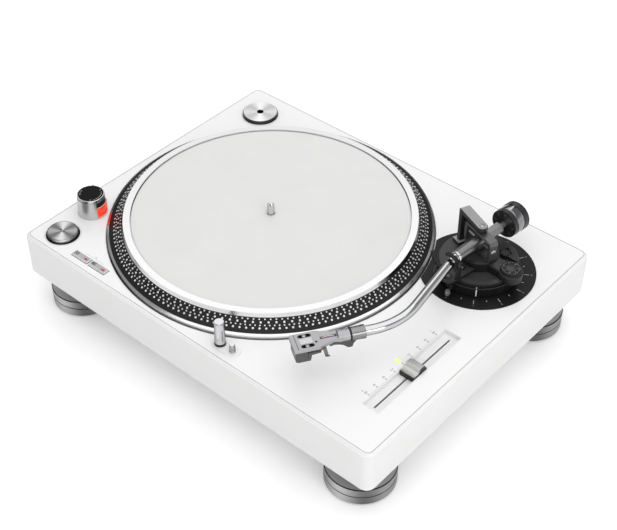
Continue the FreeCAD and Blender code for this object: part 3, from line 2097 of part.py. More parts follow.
def tube_run(name, x, y, bearing, length, radius):
    """A straight stretch of the tube, laid level along its bearing."""
    tilt = (crosswise(bearing), QUARTER_TURN)
    return primitive("Cylinder", name, x, y, "arm_z", tilt=tilt, Radius=radius, Height=length)


def tube_bend(name, x, y, start, turn, bend_radius, radius):
    """A level bend: part of a torus about (x, y) that begins at the bearing start."""
    return primitive(
        "Torus", name, x, y, "arm_z", bearing=start, Radius1=bend_radius, Radius2=radius, Angle3=turn
    )


def tube_pieces(radius):
    """Three straight stretches joined by two level bends, first to the left, then to the right."""
    first_reach = "first_bend_radius * tan(first_bend / 2)"
    second_reach = "second_bend_radius * tan(-second_bend / 2)"
    begin = "front_sleeve_length - tube_socket"
    x, y = swung(begin, "0", "arm_bearing")
    length = f"first_bend_at - ({begin}) - {first_reach}"
    root = tube_run("RootRun", f"pivot_x + {x}", f"pivot_y + {y}", "arm_bearing", length, radius)
    x, y = swung(f"-{first_reach}", "first_bend_radius", "arm_bearing")
    first = tube_bend(
        "FirstBend",
        f"first_bend_x + {x}",
        f"first_bend_y + {y}",
        f"arm_bearing - {QUARTER_TURN}",
        "first_bend",
        "first_bend_radius",
        radius,
    )
    x, y = swung(first_reach, "0", "middle_bearing")
    length = f"middle_run - {first_reach} - {second_reach}"
    start_x = f"first_bend_x + {x}"
    start_y = f"first_bend_y + {y}"
    middle = tube_run("MiddleRun", start_x, start_y, "middle_bearing", length, radius)
    x, y = swung(f"-{second_reach}", "-second_bend_radius", "middle_bearing")
    second = tube_bend(
        "SecondBend",
        f"second_bend_x + {x}",
        f"second_bend_y + {y}",
        f"last_bearing + {QUARTER_TURN}",
        "-second_bend",
        "second_bend_radius",
        radius,
    )
    x, y = swung(second_reach, "0", "last_bearing")
    length = f"last_run - {second_reach} - collar_gap"
    last = tube_run("LastRun", f"second_bend_x + {x}", f"second_bend_y + {y}", "last_bearing", length, radius)
    return [root, first, middle, second, last]


def build_arm_tube():
    outside = fused("tube", tube_pieces("tube_radius"))
    bore = fused("tube_bore", tube_pieces("tube_bore"))
    node("arm_tube", cut("tube", outside, bore))


def build_collar():
    inner = "tube_radius + collar_play"
    back = "-collar_gap - collar_length"
    lathed(
        "locking_collar",
        [
            (back, inner),
            ("-collar_gap", inner),
            ("-collar_gap", "collar_radius"),
            (f"{back} + collar_chamfer", "collar_radius"),
            (back, "collar_radius - collar_chamfer"),
        ],
        "tube_end_x",
        "tube_end_y",
        "arm_z",
        "last_bearing",
    )


def build_counterweight():
    bore = "rear_shaft_radius + weight_play"
    dial_end = "-weight_start - force_dial_length"
    lathed(
        "weight_dial",
        [
            (dial_end, bore),
            ("-weight_start", bore),
            ("-weight_start", "force_dial_radius"),
            (dial_end, "force_dial_radius"),
        ],
        "pivot_x",
        "pivot_y",
        "arm_z",
        "arm_bearing",
    )
    start = f"{dial_end} - fit_gap"
    band_end = f"{start} - weight_band_length"
    end = f"{start} - weight_length"
    lathed(
        "counterweight",
        [
            (end, bore),
            (start, bore),
            (start, "weight_band_radius"),
            (band_end, "weight_band_radius"),
            (band_end, "weight_radius"),
            (f"{end} + weight_chamfer", "weight_radius"),
            (end, "weight_radius - weight_chamfer"),
        ],
        "pivot_x",
        "pivot_y",
        "arm_z",
        "arm_bearing",
    )


def place_on_headshell(body):
    """The headshell's frame: the tube's end, pointing forward, with z = 0 at the plate's underside."""
    place(body, "tube_end_x", "tube_end_y", "arm_z + headshell_bottom", bearing="last_bearing")


def build_headshell():
    body = new_body("headshell")
    half, waist, rear = "headshell_width / 2", "headshell_waist / 2", "headshell_rear_width / 2"
    side = [
        ("headshell_length", half),
        ("headshell_length * waist_share", half),
        ("headshell_block * shoulder_share", waist),
        ("headshell_block / 2", rear),
    ]
    other = [(along, f"-({across})") for along, across in reversed(side)]
    add_padded(body, side + other, "headshell_thickness")
    dress(
        body,
        "Fillet",
        "headshell_round",
        upright_at(("headshell_length", half), ("headshell_length", f"-({half})")),
    )
    along = vector(0, 1, 0)
    washer = "collar_gap - headshell_seat_gap"
    for start, length, radius in (
        (f"-({washer})", f"{washer} + headshell_block", "headshell_block_radius"),
        ("-plug_length", "plug_length", "plug_radius"),
    ):
        add(
            body,
            "AdditiveCylinder",
            start,
            0,
            "-headshell_bottom",
            tilt=(along, QUARTER_TURN),
            Radius=radius,
            Height=length,
        )
    for side in ("-", "+"):
        add_centred_box(
            body,
            "SubtractiveBox",
            "headshell_length - screw_slot_from_front - screw_slot_length / 2",
            f"{side} screw_slot_spacing / 2",
            "0",
            "screw_slot_length",
            "screw_slot_width",
            "headshell_thickness",
        )
    add_centred_box(
        body,
        "SubtractiveBox",
        "wire_slot_from_rear + wire_slot_length / 2",
        "0",
        "0",
        "wire_slot_length",
        "wire_slot_width",
        "headshell_thickness",
    )
    place_on_headshell(body)


def build_cartridge():
    body = new_body("cartridge")
    front = "headshell_length - cartridge_from_front"
    back = f"{front} - cartridge_length"
    add_padded(
        body,
        [
            (f"{back} - cartridge_tail", 0),
            (front, 0),
            (front, "-cartridge_height + cartridge_bevel"),
            (f"{front} - cartridge_bevel", "-cartridge_height"),
            (f"{back} + cartridge_corner", "-cartridge_height"),
            (back, "-cartridge_tail_height - cartridge_corner"),
            (f"{back} - cartridge_tail", "-cartridge_tail_height"),
        ],
        "cartridge_width",
        role="XZ_Plane",
        midplane=True,
    )
    place_on_headshell(body)

    stylus = new_body("stylus_holder")
    tip = "stylus_tip - arm_height - headshell_bottom"
    block_bottom = "-cartridge_height - stylus_block_height"
    block_front = f"{front} - stylus_from_front"
    add_centred_box(
        stylus,
        "AdditiveBox",
        f"{block_front} - stylus_block_length / 2",
        "0",
        block_bottom,
        "stylus_block_length",
        "stylus_block_width",
        "stylus_block_height",
    )
    add(
        stylus,
        "AdditiveCone",
        f"{block_front} - cantilever_radius * cantilever_taper",
        0,
        tip,
        Radius1="cantilever_radius / cantilever_taper",
        Radius2="cantilever_radius",
        Height=f"{block_bottom} + cantilever_radius - ({tip})",
    )
    place_on_headshell(stylus)


def build_finger_lift():
    """Curved strip under the plate's outer side, clear of the cartridge's tail."""
    body = new_body("finger_lift")
    edge = "headshell_width / 2"
    low = "-lift_sag"
    add_padded(
        body,
        [
            ("lift_inner", 0),
            (edge, 0),
            (f"({edge} + lift_reach) / 2", low),
            ("lift_reach - lift_thickness", "lift_thickness"),
            ("lift_reach", "lift_thickness"),
            (f"({edge} + lift_reach) / 2 + lift_thickness / 2", f"{low} - lift_thickness"),
            (edge, "-lift_thickness"),
            ("lift_inner", "-lift_thickness"),
        ],
        "lift_width",
        role="YZ_Plane",
        midplane=True,
    )
    x, y = swung("lift_from_rear", "0", "last_bearing")
    height = "arm_z + headshell_bottom"
    place(body, f"tube_end_x + {x}", f"tube_end_y + {y}", height, bearing="last_bearing")


# Feet, inner boards and the rear


def build_feet():
    groove = "foot_groove_height - foot_groove_width"
    top_of_rod = "foot_height + foot_rod_length"
    sockets = []
    for corner, (x, y) in CORNERS.items():
        turned(
            "foot_" + corner,
            [
                (0, 0),
                ("foot_pad_radius", 0),
                ("foot_pad_radius", "foot_ring_bottom"),
                ("foot_ring_radius", "foot_ring_bottom"),
                ("foot_ring_radius", groove),
                ("foot_radius - foot_groove_depth", groove),
                ("foot_radius - foot_groove_depth", "foot_groove_height"),
                ("foot_radius", "foot_groove_height"),
                ("foot_radius", "foot_height - foot_round"),
                ("foot_top_radius", "foot_height"),
                ("foot_rod_radius", "foot_height"),
                ("foot_rod_radius", top_of_rod),
                (0, top_of_rod),
            ],
            x,
            y,
        )
        bottom = "foot_height + socket_gap"
        block = primitive(
            "Cylinder",
            "SocketBlock",
            x,
            y,
            bottom,
            Radius="socket_radius",
            Height=f"clearance_below - ({bottom})",
        )
        bore = primitive(
            "Cylinder",
            "SocketBore",
            x,
            y,
            bottom,
            Radius="foot_rod_radius + shaft_play",
            Height="foot_rod_length",
        )
        sockets.append(cut("socket", block, bore))
    grouped("foot_sockets", sockets)


def build_circuit_board(name, x, y, width, depth, blocks):
    """A board on four stand-offs, with blocks given as (along, across, width, depth, height)."""
    body = new_body(name)
    board_top = "board_z + board_thickness"
    add(body, "AdditiveBox", x, y, "board_z", Length=width, Width=depth, Height="board_thickness")
    margin = "2 * standoff_radius"
    for post_x in (f"{x} + {margin}", f"{x} + {width} - {margin}"):
        for post_y in (f"{y} + {margin}", f"{y} + {depth} - {margin}"):
            add(
                body,
                "AdditiveCylinder",
                post_x,
                post_y,
                "inner_floor",
                Radius="standoff_radius",
                Height="standoff_height",
            )
    for along, across, block_width, block_depth, height in blocks:
        add_centred_box(
            body,
            "AdditiveBox",
            f"{x} + {width} * {along}",
            f"{y} + {depth} * {across}",
            board_top,
            block_width,
            block_depth,
            height,
        )


def build_electronics():
    third, two_thirds, half = "1 / 3", "2 / 3", "1 / 2"
    chip_width = "chip_spread * chip_height"
    capacitor = "transformer_width / capacitor_share"
    build_circuit_board(
        "main_board",
        "platter_x + main_board_right",
        "platter_y + main_board_behind - main_board_depth / 2",
        "main_board_width",
        "main_board_depth",
        [
            (third, half, chip_width, chip_width, "chip_height / chip_flatness"),
            (two_thirds, third, "2 * chip_height", "chip_height", "chip_height"),
            (two_thirds, two_thirds, "chip_height", "2 * chip_height", "chip_height"),
        ],
    )
    build_circuit_board(
        "power_supply",
        "right - supply_from_right",
        "rear - supply_from_rear",
        "supply_width",
        "supply_depth",
        [
            (third, half, "transformer_width", "transformer_width", "transformer_height"),
            ("capacitor_place", half, capacitor, capacitor, "transformer_height"),
        ],
    )


def build_rear():
    """Recessed terminal panel with its jacks and the mains inlet, and the lid's hinge sockets."""
    panel = new_body("terminal_panel")
    left_side = "left + terminal_from_left + fit_gap"
    bottom = "clearance_below + terminal_rise + fit_gap"
    width = "terminal_width - 2 * fit_gap"
    height = "terminal_height - 2 * fit_gap"
    back = "rear - terminal_depth"
    add(panel, "AdditiveBox", left_side, back, bottom, Length=width, Width="terminal_depth", Height=height)
    add(
        panel,
        "SubtractiveBox",
        f"{left_side} + terminal_wall",
        f"{back} + terminal_wall",
        f"{bottom} + terminal_wall",
        Length=f"{width} - 2 * terminal_wall",
        Width="terminal_depth - terminal_wall",
        Height=f"{height} - 2 * terminal_wall",
    )
    face = f"{back} + terminal_wall"
    middle = "clearance_below + terminal_rise + terminal_height / 2"
    jacks = []
    for number in range(4):
        x = f"{left_side} + jack_from_side + {number} * jack_pitch"
        base = primitive(
            "Cylinder",
            "JackCollar",
            x,
            face,
            middle,
            tilt=(vector(1, 0, 0), -QUARTER_TURN),
            Radius="jack_collar_radius",
            Height="jack_collar_length",
        )
        barrel = primitive(
            "Cylinder",
            "JackBarrel",
            x,
            face,
            middle,
            tilt=(vector(1, 0, 0), -QUARTER_TURN),
            Radius="jack_radius",
            Height="jack_length",
        )
        bore = primitive(
            "Cylinder",
            "JackBore",
            x,
            face,
            middle,
            tilt=(vector(1, 0, 0), -QUARTER_TURN),
            Radius="jack_bore",
            Height="jack_length",
        )
        jacks.append(cut("jack", fused("jack", [base, barrel]), bore))
    ground = primitive(
        "Cylinder",
        "GroundPost",
        f"{left_side} + jack_from_side + ground_pitches * jack_pitch",
        face,
        middle,
        tilt=(vector(1, 0, 0), -QUARTER_TURN),
        Radius="ground_radius",
        Height="jack_length",
    )
    jacks.append(ground)
    grouped("audio_jacks", jacks)

    inlet = new_body("power_inlet")
    x = f"{left_side} + {width} - inlet_from_side - inlet_width / 2"
    z = f"{middle} - inlet_height / 2"
    add_centred_box(
        inlet, "AdditiveBox", x, f"{face} + inlet_depth / 2", z, "inlet_width", "inlet_depth", "inlet_height"
    )
    add_centred_box(
        inlet,
        "SubtractiveBox",
        x,
        f"{face} + (inlet_depth + inlet_wall) / 2",
        f"{z} + inlet_wall",
        "inlet_width - 2 * inlet_wall",
        "inlet_depth - inlet_wall",
        "inlet_height - 2 * inlet_wall",
    )
    for number, rise in ((-1, 0), (0, 1), (1, 0)):
        add_centred_box(
            inlet,
            "AdditiveBox",
            f"{x} + {number} * inlet_pin_pitch",
            f"{face} + (inlet_wall + inlet_pin_length) / 2",
            f"{middle} - inlet_pin_height / 2 - inlet_pin_height / 2 + {rise} * inlet_pin_height",
            "inlet_pin_width",
            f"inlet_pin_length - inlet_wall + {rise} * slip",
            "inlet_pin_height",
        )

    sockets = []
    for hinge in HINGES:
        width = "hinge_width - 2 * fit_gap"
        height = "hinge_height - 2 * fit_gap"
        bottom = "clearance_below + hinge_rise + fit_gap"
        block = primitive(
            "Box",
            "HingeBlock",
            f"{hinge} - ({width}) / 2",
            "rear - wall",
            bottom,
            Length=width,
            Width="wall + hinge_reach",
            Height=height,
        )
        pocket = primitive(
            "Box",
            "HingePocket",
            f"{hinge} - ({width}) / 2 + hinge_wall",
            "rear + hinge_wall",
            f"{bottom} + hinge_wall",
            Length=f"{width} - 2 * hinge_wall",
            Width="hinge_reach - 2 * hinge_wall",
            Height=f"{height} - hinge_wall",
        )
        sockets.append(cut("hinge_socket", block, pocket))
    grouped("hinge_sockets", sockets)


def write_parts():
    """Check every object, then write one STEP file for each piece."""
    document.recompute()
    for thing in document.Objects:
        if "Invalid" in thing.State or "Error" in thing.State:
            raise RuntimeError(f"{thing.Name} ({thing.Label}) did not build: {thing.State}")
    for name, thing in NODES.items():
        if thing.Shape.isNull() or not thing.Shape.isValid():
            raise RuntimeError(name + " has no valid shape")
    os.makedirs("parts", exist_ok=True)
    for thing in NODES.values():
        thing.Shape.exportStep(f"parts/{thing.Label}.step")


build_cabinet()
build_top_panel()
build_bottom_cover()
build_platter()
build_motor()
build_power_dial()
build_start_button()
build_speed_buttons()
build_control_board()
build_target_light()
build_adapter()
build_fader()
build_arm_base()
build_platform()
build_yoke()
build_antiskate()
build_lock_lever()
build_arm_rest()
build_arm_clip()
build_lifter()
build_cue_lever()
build_gimbal()
build_arm_shaft()
build_arm_tube()
build_collar()
build_counterweight()
build_headshell()
build_cartridge()
build_finger_lift()
build_feet()
build_electronics()
build_rear()
write_parts()
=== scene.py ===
"""Dresses the packed turntable: its stage, its finishes, and the marks and small pieces that its solids lack.

Outlines, and the defaults of length properties, are in millimetres. Every piece is made in the frame of the
solids: x to the right, y to the back, z up, in metres.
"""

import math

import bmesh
import bpy
from mathutils import Matrix, Vector


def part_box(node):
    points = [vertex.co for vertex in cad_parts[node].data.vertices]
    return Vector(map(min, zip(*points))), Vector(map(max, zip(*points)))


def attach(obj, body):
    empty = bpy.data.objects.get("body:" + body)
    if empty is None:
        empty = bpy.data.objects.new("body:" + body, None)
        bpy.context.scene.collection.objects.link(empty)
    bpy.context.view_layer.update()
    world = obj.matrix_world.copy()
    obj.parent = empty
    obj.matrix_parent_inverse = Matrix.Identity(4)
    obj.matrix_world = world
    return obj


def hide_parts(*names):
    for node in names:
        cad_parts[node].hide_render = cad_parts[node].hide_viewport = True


bl_info = {
    "name": "Turntable",
    "version": (1, 0, 0),
    "blender": (4, 5, 0),
    "location": "3D View > Sidebar > Turntable",
    "description": "Dresses the packed turntable with its finishes, marks and small pieces",
    "category": "Object",
}

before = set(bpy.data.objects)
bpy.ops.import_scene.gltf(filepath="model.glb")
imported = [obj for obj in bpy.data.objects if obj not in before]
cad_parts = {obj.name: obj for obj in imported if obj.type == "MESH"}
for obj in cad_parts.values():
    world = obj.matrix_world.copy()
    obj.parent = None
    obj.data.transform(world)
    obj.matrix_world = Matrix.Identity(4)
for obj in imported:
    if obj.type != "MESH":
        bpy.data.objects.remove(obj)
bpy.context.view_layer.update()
MM = 0.001
RIGHT, BACK, UP = Vector((1, 0, 0)), Vector((0, 1, 0)), Vector((0, 0, 1))


# Places read from the solids


def middle(node):
    low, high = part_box(node)
    return (low + high) / 2


def span(node):
    low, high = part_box(node)
    return high - low


def above(node):
    """The point at the middle of a node's box, at its highest level."""
    place = middle(node)
    place.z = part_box(node)[1].z
    return place


def heading(degrees):
    """The level direction at an angle from the right, counter-clockwise seen from above."""
    turn = math.radians(degrees)
    return Vector((math.cos(turn), math.sin(turn), 0))


def at(x, y, z=0.0):
    """A point or a size given in millimetres."""
    return Vector((x, y, z)) * MM


def scaled(outline, shift=0.0):
    """An outline in metres from one in millimetres, moved along its axis by a shift in millimetres."""
    return [(out * MM, (along + shift) * MM) for out, along in outline]


DECK_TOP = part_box("top_panel")[1].z
PLATTER_AXIS = middle("platter")
ARM_AXIS = middle("height_ring")
ARM_BEARING = -95.0
REST_BEARING = -94.5
SHELL_BEARING = -123.0
TUBE_END = at(139.27, -110.26, 126.0)
ARM_PIVOT = Vector((ARM_AXIS.x, ARM_AXIS.y, TUBE_END.z))
CORNERS = ("front_left", "front_right", "rear_left", "rear_right")
ARM_INK = 0.04 * MM


# Properties: the sizes and colours that a user would change


def colour_property(name, description, default):
    return bpy.props.FloatVectorProperty(
        name=name, description=description, default=default, size=3, min=0, max=1, subtype="COLOR"
    )


def length_property(name, description, default):
    return bpy.props.FloatProperty(
        name=name, description=description, default=default * MM, min=0, unit="LENGTH", precision=5
    )


def level_property(name, description, default):
    return bpy.props.FloatProperty(name=name, description=description, default=default, min=0)


def place_property(name, description, default):
    return bpy.props.FloatVectorProperty(
        name=name, description=description, default=default, size=3, subtype="TRANSLATION"
    )


class StageSettings(bpy.types.PropertyGroup):
    """The floor, the lamps and the camera."""

    floor_colour: colour_property("Floor", "Colour of the floor", (0.95, 0.95, 0.95))
    floor_lift: level_property("Floor lift", "White added to the floor where the camera sees it", 0.22)
    sky_level: level_property("Room light", "Strength of the light from the room", 0.55)
    lamp_power: level_property("Lamp power", "Share of the lamps' full power", 1.0)
    camera_place: place_property("Camera", "Where the camera stands", (0.6512, -0.7533, 0.9339))
    camera_aim: place_property("Aim", "The point that the camera looks at", (0.0245, -0.0298, 0.088))
    lens: bpy.props.FloatProperty(
        name="Lens", description="Focal length on a 36 mm wide sensor", default=75.9, unit="CAMERA"
    )


class DeckSettings(bpy.types.PropertyGroup):
    """The cabinet, its controls and its printed marks."""

    body_colour: colour_property("Body", "Colour of the moulded cabinet", (0.87, 0.87, 0.865))
    panel_colour: colour_property("Panel", "Colour of the top panel", (0.885, 0.885, 0.885))
    print_colour: colour_property("Print", "Colour of the printed marks", (0.03, 0.03, 0.032))
    glow_colour: colour_property("Strobe glow", "Colour of the lit strobe window", (1.0, 0.06, 0.03))
    lamp_colour: colour_property("Centre lamp", "Colour of the fader's centre lamp", (0.55, 0.95, 0.05))
    print_thickness: length_property("Print thickness", "Thickness of the printed ink", 0.04)
    seam_width: length_property("Seam width", "Width of the shaded seam round the top panel", 0.5)
    digit_height: length_property("Digit height", "Height of the fader's numbers", 3.4)


class PlatterSettings(bpy.types.PropertyGroup):
    """The platter, its mat and its dots."""

    band_colour: colour_property("Dot band", "Colour between the dots", (0.012, 0.012, 0.013))
    felt_colour: colour_property("Felt", "Colour of the mat", (0.74, 0.74, 0.735))
    large_dot: length_property("Large dot", "Radius of a large dot", 1.3)
    small_dot: length_property("Small dot", "Radius of a small dot", 0.95)
    dot_rise: length_property("Dot rise", "Height of a dot over the band", 0.25)


class ArmSettings(bpy.types.PropertyGroup):
    """The tonearm and its headshell."""

    tube_colour: colour_property("Tube", "Colour of the polished tube", (0.66, 0.66, 0.67))
    shell_colour: colour_property("Headshell", "Colour of the headshell", (0.46, 0.46, 0.47))
    knurl_depth: length_property("Knurl depth", "Depth of the ring's knurling", 0.7)


# Finishes


def new_group(name, inputs, outputs):
    """An empty shader node group with named sockets: (kind, name, default) in, (kind, name) out."""
    group = bpy.data.node_groups.new(name, "ShaderNodeTree")
    for kind, label, default in inputs:
        socket = group.interface.new_socket(name=label, in_out="INPUT", socket_type=f"NodeSocket{kind}")
        socket.default_value = default
    for kind, label in outputs:
        group.interface.new_socket(name=label, in_out="OUTPUT", socket_type=f"NodeSocket{kind}")
    return group, group.nodes.new("NodeGroupInput"), group.nodes.new("NodeGroupOutput")


def feed(tree, node, inputs):
    """Sets or links each named or numbered input of a node."""
    for name, value in inputs.items():
        if isinstance(value, bpy.types.NodeSocket):
            tree.links.new(value, node.inputs[name])
        else:
            node.inputs[name].default_value = value
    return node


def add_node(tree, kind, inputs=None, **settings):
    """Adds a node with its settings and inputs."""
    node = tree.nodes.new(f"ShaderNode{kind}")
    for name, value in settings.items():
        setattr(node, name, value)
    return feed(tree, node, inputs or {})


def sum_up(tree, operation, *values):
    """The result of a mathematical step on numbers or sockets."""
    return add_node(tree, "Math", dict(enumerate(values)), operation=operation).outputs[0]


def mapped(tree, value, low, high, start=0.0, end=1.0):
    """A value carried from one range to another, held at its ends."""
    given = {"Value": value, "From Min": low, "From Max": high, "To Min": start, "To Max": end}
    return add_node(tree, "MapRange", given).outputs[0]


def mixed_colour(tree, share, first, second):
    """A colour between two, the second where the share is 1. Each is a socket or a colour."""
    first, second = [
        colour if isinstance(colour, bpy.types.NodeSocket) else (*colour, 1) for colour in (first, second)
    ]
    return add_node(tree, "Mix", {0: share, 6: first, 7: second}, data_type="RGBA").outputs[2]


def object_place(tree):
    return add_node(tree, "TexCoord").outputs["Object"]


def from_axis(group, axis):
    """Each place, measured from the middle of an upright axis."""
    given = {0: object_place(group), 1: axis}
    return add_node(group, "VectorMath", given, operation="SUBTRACT").outputs[0]


BROAD_GRAIN = 23.0


def grain_group():
    """Fine unevenness of a surface: colour, roughness and height that vary with the place on the piece."""
    group, given, made = new_group(
        "surface_grain",
        [
            ("Color", "Colour", (0.8, 0.8, 0.8, 1)),
            ("Float", "Shade spread", 0.03),
            ("Float", "Grain size", 0.001),
            ("Float", "Roughness", 0.4),
            ("Float", "Roughness spread", 0.1),
        ],
        [("Color", "Colour"), ("Float", "Roughness"), ("Float", "Height")],
    )
    wanted = given.outputs
    place = object_place(group)
    rate = sum_up(group, "DIVIDE", 1.0, wanted["Grain size"])
    fine = add_node(group, "TexNoise", {"Vector": place, "Scale": rate, "Detail": 3.0}).outputs["Fac"]
    broad = add_node(group, "TexNoise", {"Vector": place, "Scale": BROAD_GRAIN, "Detail": 2.0}).outputs["Fac"]
    centred = sum_up(group, "SUBTRACT", sum_up(group, "ADD", fine, broad), 1.0)
    shade = sum_up(group, "MULTIPLY_ADD", centred, wanted["Shade spread"], 1.0)
    tinted = {0: wanted["Colour"], "Scale": shade}
    colour = add_node(group, "VectorMath", tinted, operation="SCALE").outputs[0]
    rough = sum_up(group, "MULTIPLY_ADD", centred, wanted["Roughness spread"], wanted["Roughness"])
    feed(group, made, {"Colour": colour, "Roughness": rough, "Height": fine})
    return group


def spun_group():
    """Fine rings round an upright axis, as a lathe tool leaves them."""
    group, given, made = new_group(
        "spun_rings",
        [("Vector", "Axis", (0, 0, 0)), ("Float", "Ring pitch", 0.0003)],
        [("Float", "Height")],
    )
    away = {0: from_axis(group, given.outputs["Axis"]), 1: (1, 1, 0)}
    level = add_node(group, "VectorMath", away, operation="MULTIPLY").outputs[0]
    radius = add_node(group, "VectorMath", {0: level}, operation="LENGTH").outputs["Value"]
    rings = sum_up(group, "DIVIDE", radius, given.outputs["Ring pitch"])
    noise = add_node(group, "TexNoise", {"W": rings, "Scale": 1.0, "Detail": 2.0}, noise_dimensions="1D")
    feed(group, made, {"Height": noise.outputs["Fac"]})
    return group


# Painted highlight and shade sectors: their turn, the feet's turn, their waves and their middle level.
SHEEN_FAN_TURN = math.radians(131)
FOOT_SHEEN_FAN_TURN = math.radians(-94)
SHEEN_FAN_WAVES = ((4, 0.3), (2, 0.25))
SHEEN_FAN_MIDDLE = 0.45


def fan_group():
    """Painted highlight and shade: light and dark sectors round an upright axis, standing in for the
    reflection of lamps that a lathed face shows.
    """
    group, given, made = new_group(
        "painted_sheen_fan",
        [("Vector", "Axis", (0, 0, 0)), ("Float", "Low", 0.5), ("Float", "Turn", SHEEN_FAN_TURN)],
        [("Float", "Share")],
    )
    flat = add_node(group, "SeparateXYZ", {0: from_axis(group, given.outputs["Axis"])}).outputs
    swung = sum_up(group, "SUBTRACT", sum_up(group, "ARCTAN2", flat["Y"], flat["X"]), given.outputs["Turn"])
    level = SHEEN_FAN_MIDDLE
    for count, share in SHEEN_FAN_WAVES:
        wave = sum_up(group, "COSINE", sum_up(group, "MULTIPLY", swung, count))
        level = sum_up(group, "ADD", sum_up(group, "MULTIPLY", wave, share), level)
    share = mapped(group, level, 0.0, 1.0, given.outputs["Low"])
    feed(group, made, {"Share": share})
    return group


def upward_group():
    """1 where a face of the piece looks straight up, and 0 elsewhere."""
    group, given, made = new_group("upward_face", [("Float", "Level", 0.97)], [("Float", "Mask")])
    normal = add_node(group, "TexCoord").outputs["Normal"]
    rise = add_node(group, "SeparateXYZ", {0: normal}).outputs["Z"]
    feed(group, made, {"Mask": sum_up(group, "GREATER_THAN", rise, given.outputs["Level"])})
    return group


GROUP_MAKERS = {
    "surface_grain": grain_group,
    "spun_rings": spun_group,
    "painted_sheen_fan": fan_group,
    "upward_face": upward_group,
}
GROUPS = {}
FINISHES = {}


def placed_group(tree, name, inputs):
    """Places a shared group in a material, building it the first time, and gives its outputs."""
    if name not in GROUPS:
        GROUPS[name] = GROUP_MAKERS[name]()
    node = tree.nodes.new("ShaderNodeGroup")
    node.node_tree = GROUPS[name]
    return feed(tree, node, inputs).outputs


# Facing range over which the painted dark reflection comes in.
DARK_REFLECTION_START, DARK_REFLECTION_END = 0.35, 0.85
COAT_ROUGHNESS = 0.08


def finish(
    name, colour, roughness, metallic=0.0, coat=0.0, grain=0.0012, shade=0.02, spread=0.05, relief=0.00001,
    spun=None, anisotropic=0.0, glow=None, glow_level=0.0, slot=None, edge=None, specular=0.5,
    sheen_fan=None, sheen_fan_low=0.5, sheen_fan_turn=SHEEN_FAN_TURN, top=None,
):
    """A finish with fine grain.

    `spun` and `sheen_fan` name the axis of its rings and of its painted highlight and shade sectors, `top` is
    the colour of faces that look straight up, a painted highlight where it is lighter, and `edge` is the
    colour of faces turned away, a painted dark reflection.
    """
    material = bpy.data.materials.new(name)
    material["slot"] = slot or name
    FINISHES[name] = material
    material.use_nodes = True
    tree = material.node_tree
    grained = {"Colour": (*colour, 1), "Shade spread": shade, "Grain size": grain}
    grained.update({"Roughness": roughness, "Roughness spread": spread})
    detail = placed_group(tree, "surface_grain", grained)
    height = detail["Height"]
    shown_colour = detail["Colour"]
    # A colour apart on faces that look straight up; where it is lighter than the rest, it is a painted
    # highlight.
    if top is not None:
        shown_colour = mixed_colour(tree, placed_group(tree, "upward_face", {})["Mask"], shown_colour, top)
    # Painted highlight and shade: the colour is dimmed in sectors round the given axis.
    if sheen_fan is not None:
        painted_sheen = placed_group(tree, "painted_sheen_fan", {"Axis": sheen_fan, "Low": sheen_fan_low, "Turn": sheen_fan_turn})["Share"]
        sheen_node = add_node(tree, "VectorMath", {0: shown_colour, "Scale": painted_sheen}, operation="SCALE")
        shown_colour = sheen_node.outputs[0]
    # Painted dark reflection: the colour goes towards the given dark one on faces turned away from the view.
    if edge is not None:
        facing = add_node(tree, "LayerWeight", {"Blend": 0.5}).outputs["Facing"]
        shown_colour = mixed_colour(tree, mapped(tree, facing, DARK_REFLECTION_START, DARK_REFLECTION_END), shown_colour, edge)
    if spun is not None:
        height = placed_group(tree, "spun_rings", {"Axis": spun})["Height"]
    bump = add_node(tree, "Bump", {"Height": height, "Strength": 1.0, "Distance": relief})
    looks = {
        "Base Color": shown_colour,
        "Specular IOR Level": specular,
        "Roughness": detail["Roughness"],
        "Normal": bump.outputs[0],
        "Metallic": metallic,
        "Coat Weight": coat,
        "Coat Roughness": COAT_ROUGHNESS,
    }
    if anisotropic:
        around = add_node(tree, "Tangent", direction_type="RADIAL", axis="Z")
        looks.update({"Anisotropic": anisotropic, "Tangent": around.outputs[0]})
    if glow is not None:
        looks.update({"Emission Color": (*glow, 1), "Emission Strength": glow_level})
    feed(tree, tree.nodes["Principled BSDF"], looks)
    return material


WINDOW_SPLIT = 0.68
WINDOW_GLOW = 0.55
WINDOW_RED = (0.55, 0.02, 0.008)
WINDOW_DARK = (0.012, 0.012, 0.013)


def window_level():
    """The level at which the strobe window's dark band begins."""
    low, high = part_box("strobe_window")
    return low.z + (high.z - low.z) * WINDOW_SPLIT


def window_finish(settings):
    """The strobe window: a lit red panel below a dark band."""
    tree = finish("red_lens", WINDOW_RED, 0.2).node_tree
    height = add_node(tree, "SeparateXYZ", {0: object_place(tree)}).outputs["Z"]
    dark = sum_up(tree, "GREATER_THAN", height, window_level())
    looks = {
        "Base Color": mixed_colour(tree, dark, WINDOW_RED, WINDOW_DARK),
        "Emission Color": mixed_colour(tree, dark, settings.glow_colour, (0, 0, 0)),
        "Emission Strength": WINDOW_GLOW,
    }
    feed(tree, tree.nodes["Principled BSDF"], looks)


# Shapes


def shown(name, data, body, finish_name):
    """Puts a mesh in the scene with its finish, riding on a body."""
    material = FINISHES[finish_name]
    data.materials.clear()
    data.materials.append(material)
    made = bpy.data.objects.new(name, data)
    bpy.context.scene.collection.objects.link(made)
    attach(made, body)
    return made


def piece(name, mesh, body, finish_name, sharp=35.0):
    """Turns a bmesh into a piece that rides on a body, smooth but for its sharp edges."""
    bmesh.ops.remove_doubles(mesh, verts=mesh.verts, dist=1e-7)
    bmesh.ops.recalc_face_normals(mesh, faces=mesh.faces)
    data = bpy.data.meshes.new(name)
    mesh.to_mesh(data)
    mesh.free()
    data.shade_smooth()
    data.set_sharp_from_angle(angle=math.radians(sharp))
    return shown(name, data, body, finish_name)


